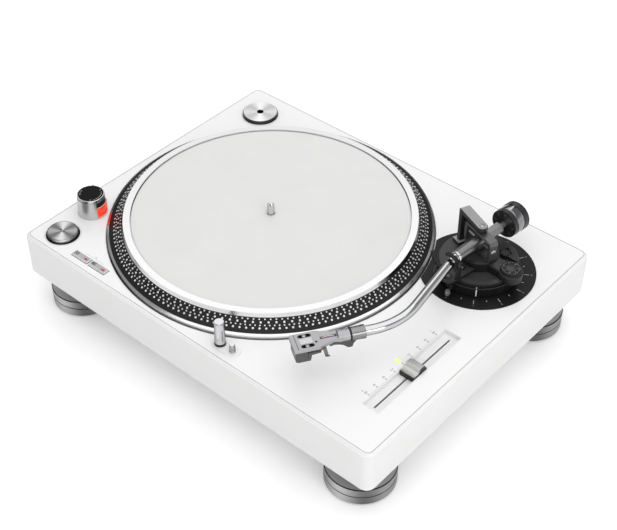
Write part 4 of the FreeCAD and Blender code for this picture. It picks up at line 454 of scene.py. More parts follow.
def spin_outline(mesh, outline, centre, across=RIGHT, axis=UP, steps=96, closed=False):
    """Adds a turned shape to a bmesh. The outline is (distance from the axis, distance along it) pairs."""
    corners = [mesh.verts.new(Vector(centre) + across * out + axis * along) for out, along in outline]
    chain = [mesh.edges.new(pair) for pair in zip(corners, corners[1:])]
    if closed:
        chain.append(mesh.edges.new((corners[-1], corners[0])))
    bmesh.ops.spin(
        mesh, geom=corners + chain, cent=centre, axis=axis, angle=math.tau, steps=steps, use_merge=True
    )


def turned(name, outline, centre, body, finish_name, steps=96, closed=False, across=RIGHT, axis=UP):
    """A turned piece. Its outline is in millimetres."""
    mesh = bmesh.new()
    spin_outline(mesh, scaled(outline), centre, across, axis, steps, closed)
    return piece(name, mesh, body, finish_name)


def soften(mesh, edges, bevel):
    bmesh.ops.bevel(mesh, geom=edges, offset=bevel, segments=2, profile=0.5, affect="EDGES", material=-1)


def add_block(mesh, centre, size, turn=0.0, bevel=0.0):
    """Adds a box to a bmesh, turned about the upright axis, with softened edges where a bevel is given."""
    place = Matrix.Translation(centre) @ Matrix.Rotation(turn, 4, "Z") @ Matrix.Diagonal((*size, 1))
    made = bmesh.ops.create_cube(mesh, size=1.0, matrix=place)
    if bevel:
        soften(mesh, list({edge for corner in made["verts"] for edge in corner.link_edges}), bevel)


def add_slab(mesh, outline, low, high, bevel=0.0):
    """Adds a plate to a bmesh: an outline of level points, between two levels."""
    base = mesh.faces.new([mesh.verts.new((x, y, low)) for x, y in outline])
    made = bmesh.ops.extrude_face_region(mesh, geom=[base])["geom"]
    raised = [item for item in made if isinstance(item, bmesh.types.BMVert)]
    bmesh.ops.translate(mesh, verts=raised, vec=(0, 0, high - low))
    if bevel:
        soften(mesh, [item for item in made if isinstance(item, bmesh.types.BMEdge)], bevel)


def add_cone(mesh, place, radius, depth, segments, tip=None):
    """Adds a capped cone or, without a tip's radius, a cylinder to a bmesh, round z of the place's frame."""
    tip = radius if tip is None else tip
    bmesh.ops.create_cone(
        mesh, cap_ends=True, segments=segments, radius1=radius, radius2=tip, depth=depth, matrix=place
    )


def knurl(
    mesh, centre, steps, depth, low=-math.inf, high=math.inf, pitch=0.0, beyond=0.0, across=RIGHT, axis=UP
):
    """Presses every other step of a turned shape inwards, between two heights and beyond a radius.

    Where a pitch is given, the steps that are pressed change from row to row.
    """
    side = axis.cross(across)
    for corner in mesh.verts:
        out = corner.co - centre
        along = out.dot(axis)
        flat = out - axis * along
        if low < along < high and flat.length > beyond:
            step = round(math.atan2(flat.dot(side), flat.dot(across)) / math.tau * steps)
            row = round((along - low) / pitch) if pitch else 0
            if (step + row) % 2:
                corner.co -= flat.normalized() * depth


def add_arc(mesh, centre, radius, width, low, high, start, sweep, steps=24):
    """Adds a bar bent round an upright axis to a bmesh, from one bearing through a sweep, in degrees."""
    across = heading(start)
    corners = [
        mesh.verts.new(Vector(centre) + across * out + UP * level)
        for out, level in ((radius, low), (radius + width, low), (radius + width, high), (radius, high))
    ]
    face = mesh.faces.new(corners)
    bar = [face, *face.edges, *face.verts]
    bmesh.ops.spin(mesh, geom=bar, cent=centre, axis=UP, angle=math.radians(sweep), steps=steps)


def add_ring(mesh, centre, inner, outer, low, high, steps=64):
    """Adds a flat ring round an upright axis to a bmesh."""
    outline = ((inner, low), (outer, low), (outer, high), (inner, high))
    spin_outline(mesh, outline, centre, steps=steps, closed=True)


def add_mark(mesh, place, length, width, bearing, thickness):
    """Adds a printed stroke to a bmesh, its middle at a place and its length along a bearing in degrees."""
    add_block(mesh, place + UP * thickness / 2, (length, width, thickness), math.radians(bearing))


def put(mesh, place):
    """Moves a bmesh from its own frame to a place."""
    bmesh.ops.transform(mesh, matrix=place, verts=mesh.verts)
    return mesh


def merge(mesh, part, place):
    """Moves a bmesh to a place and adds it to another."""
    data = bpy.data.meshes.new("part")
    put(part, place).to_mesh(data)
    part.free()
    mesh.from_mesh(data)
    bpy.data.meshes.remove(data)


def across_x(point):
    """The frame at a point in which a slab's outline is (y, z) and its height runs along x."""
    turn = Matrix(((0, 0, 1, 0), (1, 0, 0, 0), (0, 1, 0, 0), (0, 0, 0, 1)))
    return Matrix.Translation(point) @ turn


def standing(point, bearing=0.0):
    """The frame at a point whose x points along a level bearing, in degrees, and whose z points up."""
    return Matrix.Translation(point) @ Matrix.Rotation(math.radians(bearing), 4, "Z")


SLOT_LEVEL, SLOT_SIZE = 0.8, (1.1, 0.2, 0.3)
SCREW_OUTLINE = ((0.98, -0.2), (1.0, 0.0), (0.96, 0.45), (0.7, 0.85), (0.34, 1.0), (0.3, 0.45), (0.0, 0.35))


def add_screw(mesh, place, radius, height):
    """Adds a pan-head screw with a cross recess, its head's seat at a place whose z points out of it."""
    head = bmesh.new()
    spin_outline(head, [(radius * out, height * along) for out, along in SCREW_OUTLINE], (0, 0, 0), steps=24)
    long, wide, deep = SLOT_SIZE
    for turn in (0.0, math.pi / 2):
        slot = (radius * long, radius * wide, height * deep)
        add_block(head, UP * height * SLOT_LEVEL, slot, turn)
    merge(mesh, head, place)


def meshed(curve, name, place):
    """The mesh of a curve, which is then removed, moved to a place."""
    source = bpy.data.objects.new(f"{name}_line", curve)
    bpy.context.scene.collection.objects.link(source)
    bpy.context.view_layer.update()
    data = bpy.data.meshes.new_from_object(source.evaluated_get(bpy.context.evaluated_depsgraph_get()))
    bpy.data.objects.remove(source)
    bpy.data.curves.remove(curve)
    data.name = name
    data.transform(place)
    return data


LETTER_SHARE = 1.4
LETTER_INK = 0.04 * MM


def lettered(name, text, height, place, body, finish_name, bold=0.0):
    """Flat printed characters in the plane that a matrix gives."""
    curve = bpy.data.curves.new(name, "FONT")
    curve.body = str(text)
    curve.size = height * LETTER_SHARE
    curve.align_x = "CENTER"
    curve.align_y = "CENTER"
    curve.extrude = LETTER_INK / 2
    curve.offset = bold
    curve.resolution_u = 3
    return shown(name, meshed(curve, name, place), body, finish_name)


def printed_ring(name, centre, inner, outer, ink, body, finish_name, steps):
    """A printed circle, its radii in millimetres."""
    mesh = bmesh.new()
    add_ring(mesh, centre, inner * MM, outer * MM, 0.0, ink, steps)
    piece(name, mesh, body, finish_name)


# Platter


BAND_POINTS = ((2.2, 4.05), (6.0, 5.1), (15.4, 12.5))
BAND_PAINT = 0.05
DOT_ROWS = ((0.14, 160), (0.38, 216), (0.62, 133), (0.86, 180))
DOT_TIP = 0.72
MAT_HOLE = 4.2 * MM
MAT_RINGS = 24
MAT_TOP = 0.95
MAT_LEVEL_REACH = 0.97
MAT_WAVE = 0.03
MAT_RATES = (61.0, 47.0)
MAT_STARTS = (1.3, 0.4)


def make_platter_marks(settings):
    """Four rings of raised dots on the platter's sloped edge, over a black band."""
    reach = span("platter").x / 2 / MM
    brim, outer, inner = [Vector((reach - inset, 0, level)) for inset, level in BAND_POINTS]
    facing = BACK.cross((inner - outer).normalized())
    lift = UP * BAND_PAINT * 1.2
    corners = (brim, outer, inner, inner + facing * BAND_PAINT, outer + lift, brim + lift)
    centre = Vector((PLATTER_AXIS.x, PLATTER_AXIS.y, DECK_TOP))
    band = [(corner.x, corner.z) for corner in corners]
    turned("dot_band", band, centre, "platter", "band_black", 192, True)
    mesh = bmesh.new()
    tilt = facing.to_track_quat("Z", "Y").to_matrix().to_4x4()
    for row, (share, count) in enumerate(DOT_ROWS):
        radius = settings.small_dot if row % 2 else settings.large_dot
        lean = Matrix.Translation(outer.lerp(inner, share) * MM) @ tilt
        for number in range(count):
            turn = Matrix.Rotation(math.tau * number / count, 4, "Z")
            place = Matrix.Translation(centre) @ turn @ lean
            add_cone(mesh, place, radius, settings.dot_rise * 2, 10, radius * DOT_TIP)
    piece("strobe_dots", mesh, "platter", "dot_silver", sharp=50)


def make_slipmat():
    """Felt mat with a soft edge and a slightly uneven lie."""
    low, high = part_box("platter_mat")
    radius = (high.x - low.x) / 2
    thick = high.z - low.z
    centre = Vector((PLATTER_AXIS.x, PLATTER_AXIS.y, low.z))
    outline = [(MAT_HOLE, 0.0), (MAT_HOLE, thick * 0.85), (MAT_HOLE + thick * 0.2, thick)]
    outline += [(radius * (0.05 + 0.94 * step / MAT_RINGS), thick) for step in range(MAT_RINGS + 1)]
    outline += [(radius - thick * 0.12, thick * 0.88), (radius, thick * 0.6), (radius, thick * 0.15)]
    outline += [(radius - thick * 0.1, 0.0)]
    mesh = bmesh.new()
    spin_outline(mesh, outline, centre, steps=160, closed=True)
    for corner in mesh.verts:
        place = corner.co - centre
        if place.z > thick * MAT_TOP and place.xy.length < radius * MAT_LEVEL_REACH:
            across, along = [value * rate + start for value, rate, start in zip(place, MAT_RATES, MAT_STARTS)]
            wave = math.sin(across) * math.cos(along)
            corner.co.z -= thick * MAT_WAVE * (1 + wave)
    mat = piece("slipmat", mesh, "platter", "felt", sharp=60)
    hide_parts("platter_mat")


# Deck


DIAL_RIM = ((-1.05, -0.35), (-1.05, -2.3), (0.05, -2.3), (0.05, -0.2), (-0.25, 0.12), (-0.8, 0.12))
DIAL_MARKS = ((196, 0.4), (208, 0.4), (220, 0.4), (232, 0.4), (316, 0.5), (74, 0.5))
DIAL_MARK_INSET, DIAL_MARK_LENGTH = 2.9 * MM, 1.7 * MM
DIAL_ARC_INSET, DIAL_ARC_LINE, DIAL_ARC_START, DIAL_ARC_SWEEP = 3.1 * MM, 0.3 * MM, 330, 88
FRAME_START, FRAME_SWEEP = -22, 74
FRAME_SIDES, FRAME_SIDE_SWEEP = (-22.8, 50.8), 2.4
FRAME_LINE = 0.7 * MM
FRAME_RADIUS = 14.2 * MM
FRAME_DEPTH = 1.25 * MM
SYMBOL_SIZE = 1.5 * MM
PLAY_TRIANGLE = ((-2.1, -1.0), (-0.4, 0.0), (-2.1, 1.0))
PANEL_CORNER = 6.0 * MM
QUARTERS = {(1, 1): 0, (-1, 1): 90, (-1, -1): 180, (1, -1): 270}
SPEED_DIGIT, SPEED_DIGIT_INSET, SPEED_DIGIT_BOLD = 3.8 * MM, 4.0 * MM, 0.14 * MM
SPEED_LAMP = (4.2, 2.3, 0.3)
SPEED_GAP, SPEED_EDGE = 1.25 * MM, 0.75 * MM
BRACKET_RISE, BRACKET_LINE, BRACKET_DIGIT = 2.6 * MM, 0.3 * MM, 1.9 * MM
LENS_BEARING, LENS_SIZE, LENS_DROP = 150, (0.9, 3.0, 3.6), 5.2 * MM
LIGHT_RADIUS = 4.75 * MM
LIGHT_CAP = (
    (0.0, 0.0), (2.945, -0.02), (4.085, -0.25), (4.845, -0.95), (4.94, -1.6), (4.655, -1.9), (0.0, -1.9)
)
BUTTON_ROWS, BUTTON_PITCH, BUTTON_KNURL = 10, 0.6, 0.3 * MM
LIGHT_FOOT = ((0.0, 0.0), (5.3, 0.0), (5.42, 0.3), (5.42, 2.6), (5.2, 2.9), (0.0, 2.9))


def make_tower(settings):
    """Bright rim and marks of the power dial, and the frame of the strobe window."""
    top = above("power_dial")
    radius = span("power_dial").y / 2
    rim = [(radius / MM + out, along) for out, along in DIAL_RIM]
    turned("dial_rim", rim, top, "power_dial", "polished_steel", closed=True)
    mesh = bmesh.new()
    ink = settings.print_thickness
    for bearing, width in DIAL_MARKS:
        place = top + heading(bearing) * (radius - DIAL_MARK_INSET)
        add_mark(mesh, place, DIAL_MARK_LENGTH, width * MM, bearing, ink)
    add_arc(mesh, top, radius - DIAL_ARC_INSET, DIAL_ARC_LINE, 0.0, ink, DIAL_ARC_START, DIAL_ARC_SWEEP)
    piece("dial_marks", mesh, "power_dial", "pale_print")
    tower = middle("strobe_tower")
    base = Vector((tower.x, tower.y, 0))
    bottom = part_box("strobe_window")[0].z - 0.3 * MM
    top = window_level() + FRAME_LINE / 2
    mesh = bmesh.new()
    for level in (bottom, top - FRAME_LINE):
        add_arc(mesh, base, FRAME_RADIUS, FRAME_DEPTH, level, level + FRAME_LINE, FRAME_START, FRAME_SWEEP)
    for bearing in FRAME_SIDES:
        add_arc(mesh, base, FRAME_RADIUS, FRAME_DEPTH, bottom, top, bearing, FRAME_SIDE_SWEEP, 2)
    piece("window_frame", mesh, "deck", "frame_peach")


def make_start_marks(settings):
    """Symbol and rim line of the start button, and the ring printed round it."""
    top = above("start_button")
    ink = settings.print_thickness
    size = SYMBOL_SIZE
    mesh = bmesh.new()
    add_slab(mesh, [(x * size, y * size) for x, y in PLAY_TRIANGLE], 0.0, ink)
    for x in (0.5, 1.5):
        add_block(mesh, Vector((x * size, 0, ink / 2)), (size / 2, size * 2, ink))
    piece("start_symbol", put(mesh, standing(top)), "start_button", "dark_print")
    ground = Vector((top.x, top.y, DECK_TOP))
    printed_ring("start_ring", ground, 18.3, 18.65, ink, "deck", "faint_print", 72)
    printed_ring("start_rim_line", top, 14.6, 15.0, ink, "start_button", "dark_print", 72)


def make_panel_line(settings):
    """The shaded seam between the top panel and the cabinet's rim."""
    centre = above("top_panel")
    half = span("top_panel") / 2
    straight = half - Vector((PANEL_CORNER, PANEL_CORNER, 0))
    width, ink = settings.seam_width, settings.print_thickness
    mesh = bmesh.new()
    for side in (-1, 1):
        add_mark(mesh, centre + BACK * side * (half.y - width / 2), 2 * straight.x, width, 0, ink)
        add_mark(mesh, centre + RIGHT * side * (half.x - width / 2), 2 * straight.y, width, 90, ink)
    for (side, other), start in QUARTERS.items():
        corner = centre + Vector((side * straight.x, other * straight.y, 0))
        add_arc(mesh, corner, PANEL_CORNER - width, width, 0.0, ink, start, 90, 8)
    piece("panel_seam", mesh, "deck", "seam_grey")


def make_speed_marks(settings):
    """Numbers and lamps of the two speed buttons, the edges before them, and the bracket behind them."""
    ink = settings.print_thickness
    gap, line = SPEED_GAP, SPEED_EDGE
    ends = []
    for number in (33, 45):
        button = f"speed_button_{number}"
        low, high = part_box(button)
        mid = (low + high) / 2
        place = standing(Vector((low.x + SPEED_DIGIT_INSET, mid.y, high.z)))
        name = f"speed_number_{number}"
        lettered(name, number, SPEED_DIGIT, place, button, "dark_print", SPEED_DIGIT_BOLD)
        mesh = bmesh.new()
        lamp = Vector((high.x, mid.y, high.z)) - at(4.1, 0.7)
        add_block(mesh, lamp, at(*SPEED_LAMP), bevel=0.1 * MM)
        piece(f"speed_lamp_{number}", mesh, button, "lamp_red")
        mesh = bmesh.new()
        front = Vector((mid.x + gap / 2, low.y - gap, DECK_TOP))
        add_mark(mesh, front, high.x - low.x + gap, line, 0, ink)
        beside = Vector((high.x + gap * 0.8, mid.y - gap / 2, DECK_TOP))
        add_mark(mesh, beside, high.y - low.y + gap, line, 90, ink)
        piece(f"speed_edge_{number}", mesh, "deck", "dark_print")
        ends.append(Vector((mid.x, high.y, DECK_TOP)))
    left, right = ends
    between = (left + right) / 2
    rise, stroke = BRACKET_RISE, BRACKET_LINE
    mesh = bmesh.new()
    for end in ends:
        add_mark(mesh, end + BACK * rise * 0.75, rise * 0.5, stroke, 90, ink)
    add_mark(mesh, between + BACK * rise, right.x - left.x, stroke, 0, ink)
    piece("speed_bracket", mesh, "deck", "faint_print")
    place = standing(between + BACK * (rise + 1.7 * MM))
    lettered("speed_number_78", 78, BRACKET_DIGIT, place, "deck", "faint_print")


def make_light_post(settings):
    """Polished cap, dark foot and lens of the target light, and its knurled release button."""
    top = above("target_light")
    turned("light_cap", LIGHT_CAP, top, "target_light", "spun_cap", 64)
    seat = Vector((top.x, top.y, DECK_TOP + 0.35 * MM))
    turned("light_foot", LIGHT_FOOT, seat, "target_light", "fader_side", 64)
    mesh = bmesh.new()
    add_block(mesh, at(0, 0), at(*LENS_SIZE), bevel=0.3 * MM)
    place = top + heading(LENS_BEARING) * LIGHT_RADIUS - UP * LENS_DROP
    piece("light_lens", put(mesh, standing(place, LENS_BEARING)), "target_light", "lamp_blue")
    button = above("light_button")
    grip = span("light_button").x / 2 / MM + 0.12
    outline = [(0.0, -6.9), (grip - 0.35, -6.9)]
    outline += [(grip, -6.6 + BUTTON_PITCH * row) for row in range(BUTTON_ROWS)]
    outline += [(grip - 0.5, -0.75), (0.0, -0.75)]
    mesh = bmesh.new()
    spin_outline(mesh, scaled(outline), button, steps=40)
    knurl(mesh, button, 40, BUTTON_KNURL, -6.7 * MM, -1.1 * MM, BUTTON_PITCH * MM)
    piece("light_button_grip", mesh, "light_button", "black_plastic", sharp=15)
    ground = Vector((button.x, button.y, above("light_plate").z))
    printed_ring("light_plate_ring", ground, 4.9, 5.15, settings.print_thickness, "deck", "faint_print", 48)


# Pitch fader


CAP_GROOVES = (4.9, 3.3, 1.7)
CAP_BACK = ((8.9, 1.0), (7.6, 2.4), (6.9, 4.7), (6.5, 5.3), (6.0, 5.5))
CAP_FRONT = (
    (0.5, 5.5), (0.1, 5.3), (-0.2, 4.9), (-0.9, 2.9), (-1.6, 2.0), (-2.8, 1.4), (-4.2, 1.15), (-6.0, 1.15),
    (-7.6, 1.4), (-8.8, 1.8), (-9.5, 2.1),
)
SCALE_PITCH = 6.25 * MM
SCALE_STEPS = 8
SHORT_TICK, SHORT_LINE = 1.2 * MM, 0.22 * MM
LONG_TICK, LONG_LINE = 2.6 * MM, 0.5 * MM
SIGN_LENGTH, SIGN_LINE = 1.5 * MM, 0.32 * MM


def make_fader_cap():
    """Two-part cap of the pitch fader: grooved at the back, scooped for a finger at the front."""
    low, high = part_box("fader_knob")
    base = Vector(((low.x + high.x) / 2, (low.y + high.y) / 2, DECK_TOP))
    width = high.x - low.x
    half = (high.y - low.y) / 2 / MM
    bottom = (low.z - DECK_TOP) / MM
    side = [(half, bottom), (half, 0.5), *CAP_BACK]
    for groove in CAP_GROOVES:
        side += [(groove + 0.28, 5.5), (groove + 0.14, 5.18), (groove - 0.14, 5.18), (groove - 0.28, 5.5)]
    side += [*CAP_FRONT, (-half, 1.9), (-half, bottom)]
    mesh = bmesh.new()
    add_slab(mesh, scaled(side), -width / 2, width / 2)
    core = piece("fader_cap_core", put(mesh, across_x(base)), "pitch_fader", "fader_side", sharp=25)
    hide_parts("fader_knob")
    skin = side[3:-2]
    outline = scaled(skin, 0.05) + scaled(reversed(skin), -0.5)
    mesh = bmesh.new()
    add_slab(mesh, outline, -width / 2 - 0.02 * MM, width / 2 - 0.35 * MM)
    piece("fader_cap_skin", put(mesh, across_x(base)), "pitch_fader", "fader_metal", sharp=25)
    mesh = bmesh.new()
    for groove in CAP_GROOVES:
        add_block(mesh, base + at(-0.1, groove, 5.24), (width - 0.5 * MM, 0.24 * MM, 0.05 * MM))
    piece("fader_cap_lines", mesh, "pitch_fader", "dark_print")


def make_fader_scale(settings):
    """Ticks, numbers and centre line beside the pitch fader."""
    ink = settings.print_thickness
    rest = middle("fader_knob").y
    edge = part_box("fader_tray")[0].x
    line = Vector((edge - 1.0 * MM, rest, DECK_TOP))
    strong, faint = bmesh.new(), bmesh.new()
    for sign, half in ((-1, "front"), (1, "back")):
        pitch = BACK * sign * SCALE_PITCH
        add_mark(faint, line + pitch * 4.6, 6.9 * SCALE_PITCH, SHORT_LINE, 90, ink)
        for step in range(1, SCALE_STEPS + 1):
            place = line + pitch * step
            if step % 2:
                add_mark(faint, place - RIGHT * SHORT_TICK / 2, SHORT_TICK, SHORT_LINE, 0, ink)
                continue
            add_mark(strong, place - at(1.2, 0), LONG_TICK, LONG_LINE, 0, ink)
            seat = standing(place + at(-4.4, 0.2))
            lettered(f"fader_number_{half}_{step}", step, settings.digit_height, seat, "deck", "grey_print")
    end = line - at(7.6, 0)
    for sign, bearing in ((1, 0), (-1, 0), (-1, 90)):
        place = end + BACK * sign * SCALE_STEPS * SCALE_PITCH
        add_mark(strong, place, SIGN_LENGTH, SIGN_LINE, bearing, ink)
    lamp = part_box("pitch_led")[1].x
    gap = edge - lamp
    add_mark(strong, Vector((lamp + gap / 2, rest, DECK_TOP)), gap - 0.6 * MM, 0.3 * MM, 0, ink)
    piece("fader_scale", strong, "deck", "dark_print")
    piece("fader_scale_line", faint, "deck", "faint_print")


# Rear and feet


JACK_RING = ((2.0, -2.0), (3.3, -2.0), (3.3, -0.4), (3.0, -0.1), (2.3, -0.1), (2.0, -0.4))
JACK_PITCH = 16.0
NUT_ROWS, NUT_PITCH, NUT_KNURL = 6, 0.8, 0.3 * MM
# The groove's black ring is painted shade and the rim's black ring a painted dark reflection on the polished
# foot.
FOOT_RINGS = {
    "groove": ((32.9, 11.05), (33.25, 11.05), (33.25, 11.95), (32.9, 11.95)),
    "lower_band": ((33.6, 2.3), (34.04, 2.3), (34.04, 10.9), (33.6, 10.9)),
    "upper_band": ((33.6, 12.1), (34.04, 12.1), (34.04, 20.1), (33.6, 20.1)),
    "rim": ((33.2, 20.3), (34.05, 20.3), (34.05, 20.9), (33.8, 21.05), (33.2, 21.05)),
}
FOOT_PAD = ((0.0, 0.0), (28.4, 0.0), (29.6, 0.3), (30.1, 1.0), (30.1, 1.9), (0.0, 1.9))


def make_rear():
    """Coloured rings on the audio jacks, and the knurled ground nut beside them."""
    low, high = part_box("audio_jacks")
    level = (low.z + high.z) / 2
    for number, colour in enumerate(("red", "white", "red", "white")):
        place = Vector((low.x, high.y, level)) + at(6.0 + JACK_PITCH * number, 0)
        turned(f"jack_ring_{number + 1}", JACK_RING, place, "deck", f"jack_{colour}", 40, True, axis=BACK)
    nut = Vector((high.x, high.y, level)) - at(3.4, 2.2)
    rows = [(4.3, -2.6 + NUT_PITCH * row) for row in range(NUT_ROWS)]
    mesh = bmesh.new()
    outline = [(0.0, -3.0), (3.9, -3.0), *rows, (3.7, 2.1), (0.0, 2.1)]
    spin_outline(mesh, scaled(outline), nut, axis=BACK, steps=48)
    knurl(mesh, nut, 48, NUT_KNURL, -2.7 * MM, 1.6 * MM, NUT_PITCH * MM, axis=BACK)
    piece("ground_nut", mesh, "deck", "screw_steel", sharp=15)


def make_feet():
    """Groove, polished bands, dark rim and rubber pad of each foot; the groove's black is painted shade and
    the rim's black a painted dark reflection, both in the rubber's finish.
    """
    for corner in CORNERS:
        body = f"foot_{corner}"
        base = middle(body)
        base.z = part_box(body)[0].z
        for part, outline in FOOT_RINGS.items():
            skin = f"foot_metal_painted_sheen_{corner}" if part.endswith("band") else "rubber"
            turned(f"foot_{part}_{corner}", outline, base, body, skin, closed=True)
        turned(f"foot_pad_{corner}", FOOT_PAD, base, body, "rubber", 72)


# Base of the tonearm


HEIGHT_START, HEIGHT_STEP, HEIGHT_NUMBERS = -89, 30, 7
HEIGHT_LINE_REACH, HEIGHT_LINE = 47.8 * MM, (5.0 * MM, 0.42 * MM)
HEIGHT_DOT_REACH, HEIGHT_DOT = 46.2 * MM, (1.7 * MM, 0.55 * MM)
HEIGHT_DIGIT_REACH, HEIGHT_DIGIT = 53.0 * MM, 2.3 * MM
INDEX_BEARING = -57
RING_BORE = 30.3
RING_STEPS = 232
STUDS = ((151.3, 48.3, 40), (149.0, 29.5, 70))
SKATE_BEARING = -2
SKATE_TICKS, SKATE_TICK_REACH, SKATE_TICK_LINE = 28, 8.3 * MM, 0.3 * MM
SKATE_NUMBERS, SKATE_DIGIT_REACH, SKATE_DIGIT = 7, 6.5 * MM, 1.7 * MM
SKATE_STEPS, SKATE_KNURL = 120, 0.25 * MM
SKATE_CAP = ((0.0, 0.32), (4.6, 0.28), (5.0, 0.1), (5.05, -0.1), (0.0, -0.1))
SKATE_RIM = ((9.6, -0.35), (10.0, -0.5), (10.3, -0.85), (10.3, -2.9), (9.9, -2.9))
CUE_CAP = (
    (0.0, 0.25), (1.5, 0.2), (2.1, -0.05), (2.45, -0.5), (2.5, -1.0), (2.5, -4.9), (2.2, -5.3), (0.0, -5.3)
)
LOCK_CAP = ((0.0, 0.0), (2.7, -0.02), (3.0, 0.25), (3.9, 0.3), (4.3, 0.0), (4.35, -0.5), (0.0, -0.5))


def arm_place(bearing, forward, left, height):
    """A point from the arm's pivot: along a bearing, to its left, and above the deck, in millimetres."""
    return standing(Vector((ARM_AXIS.x, ARM_AXIS.y, DECK_TOP)), bearing) @ at(forward, left, height)


def make_height_scale():
    """Lines and numbers of the height scale on the base disc."""
    base = Vector((ARM_AXIS.x, ARM_AXIS.y, DECK_TOP + 0.9 * MM))
    mesh = bmesh.new()
    for step in range(HEIGHT_NUMBERS):
        bearing = HEIGHT_START + HEIGHT_STEP * step
        add_mark(mesh, base + heading(bearing) * HEIGHT_LINE_REACH, *HEIGHT_LINE, bearing, ARM_INK)
        place = standing(base + heading(bearing) * HEIGHT_DIGIT_REACH, bearing + 90)
        lettered(f"height_number_{step}", step, HEIGHT_DIGIT, place, "deck", "grey_print")
        if step < HEIGHT_NUMBERS - 1:
            half = bearing + HEIGHT_STEP / 2
            add_mark(mesh, base + heading(half) * HEIGHT_DOT_REACH, *HEIGHT_DOT, half, ARM_INK)
    piece("height_scale", mesh, "deck", "pale_print")


def make_height_ring(settings):
    """The knurled ring that raises the platform, with its index."""
    size = span("height_ring") / MM
    radius, tall = size.x / 2, size.z
    foot = Vector((ARM_AXIS.x, ARM_AXIS.y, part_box("height_ring")[0].z))
    outline = (
        (RING_BORE, 0.0), (radius - 1.0, 0.0), (radius - 0.8, 0.35), (radius, 0.9), (radius, tall - 0.9),
        (radius - 0.75, tall), (radius - 2.6, tall), (radius - 3.0, tall - 0.5), (RING_BORE, tall - 0.5),
    )
    mesh = bmesh.new()
    spin_outline(mesh, scaled(outline), foot, steps=RING_STEPS, closed=True)
    knurl(mesh, foot, RING_STEPS, settings.knurl_depth, beyond=(radius - 0.1) * MM)
    ring = piece("knurled_ring", mesh, "height_ring", "ring_black", sharp=12)
    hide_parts("height_ring")
    mesh = bmesh.new()
    blocks = ((radius - 0.1, tall / 2, (0.3, 1.1, tall - 2.2)), (radius - 1.7, tall, (1.8, 0.9, 0.06)))
    for reach, level, block in blocks:
        place = foot + (heading(INDEX_BEARING) * reach + UP * level) * MM
        add_block(mesh, place, at(*block), math.radians(INDEX_BEARING))
    piece("ring_index", mesh, "height_ring", "pale_trim")


def make_arm_screws():
    """Screws of the yoke, the platform and the gimbal, and the seats of the platform's two."""
    mesh = bmesh.new()
    add_screw(mesh, standing(Vector((ARM_AXIS.x, ARM_AXIS.y, above("arm_yoke").z)), 30), 2.6 * MM, 1.0 * MM)
    for x, y, turn in STUDS:
        add_screw(mesh, standing(at(x, y, 18.5) + UP * DECK_TOP, turn), 1.7 * MM, 0.8 * MM)
    piece("platform_screws", mesh, "arm_platform", "screw_steel", sharp=30)
    mesh = bmesh.new()
    for x, y, _ in STUDS:
        add_ring(mesh, at(x, y, 18.0) + UP * DECK_TOP, 1.9 * MM, 3.9 * MM, -0.4 * MM, 0.5 * MM, 40)
    piece("screw_seats", mesh, "arm_platform", "ring_black")
    mesh = bmesh.new()
    for sign in (1, -1):
        side = heading(-20) * sign
        turn = side.to_track_quat("Z", "Y").to_matrix().to_4x4()
        add_screw(mesh, Matrix.Translation(ARM_PIVOT + side * 20.9 * MM) @ turn, 2.7 * MM, 0.9 * MM)
    piece("gimbal_screws", mesh, "gimbal", "screw_steel", sharp=30)


def make_antiskate():
    """Ticks, digits, cap and knurled grip of the anti-skate dial, and the index beside it."""
    top = above("antiskate_dial")
    mesh = bmesh.new()
    for step in range(SKATE_TICKS):
        bearing = 360 / SKATE_TICKS * step
        length = 1.5 if step % 4 else 0.7
        place = top + heading(bearing) * SKATE_TICK_REACH
        add_mark(mesh, place, length * MM, SKATE_TICK_LINE, bearing, ARM_INK)
    piece("skate_ticks", mesh, "antiskate_dial", "grey_print")
    for number in range(SKATE_NUMBERS):
        bearing = 360 / SKATE_NUMBERS * number + 90
        place = standing(top + heading(bearing) * SKATE_DIGIT_REACH, bearing - 90)
        lettered(f"skate_number_{number}", number, SKATE_DIGIT, place, "antiskate_dial", "grey_print")
    turned("skate_cap", SKATE_CAP, top, "antiskate_dial", "base_grey", 56)
    mesh = bmesh.new()
    spin_outline(mesh, scaled(SKATE_RIM), top, steps=SKATE_STEPS, closed=True)
    knurl(mesh, top, SKATE_STEPS, SKATE_KNURL, beyond=10.2 * MM)
    piece("skate_grip", mesh, "antiskate_dial", "ring_black", sharp=12)
    mesh = bmesh.new()
    add_mark(mesh, arm_place(SKATE_BEARING, 26.4, 0, 22.0), 2.2 * MM, 0.6 * MM, SKATE_BEARING, ARM_INK)
    piece("skate_index", mesh, "arm_platform", "grey_print")


def make_knob_caps():
    """Caps of the cue lever's knob and of the lock lever."""
    turned("cue_knob_cap", CUE_CAP, arm_place(REST_BEARING, 50.4, 4.6, 8.2), "cue_lever", "knob_grey", 48)
    seat = arm_place(50.7, 26.5, 0, 0)
    seat.z = above("lock_lever").z
    turned("lock_cap", LOCK_CAP, seat, "lock_lever", "base_satin", 48)


# Arm and counterweight


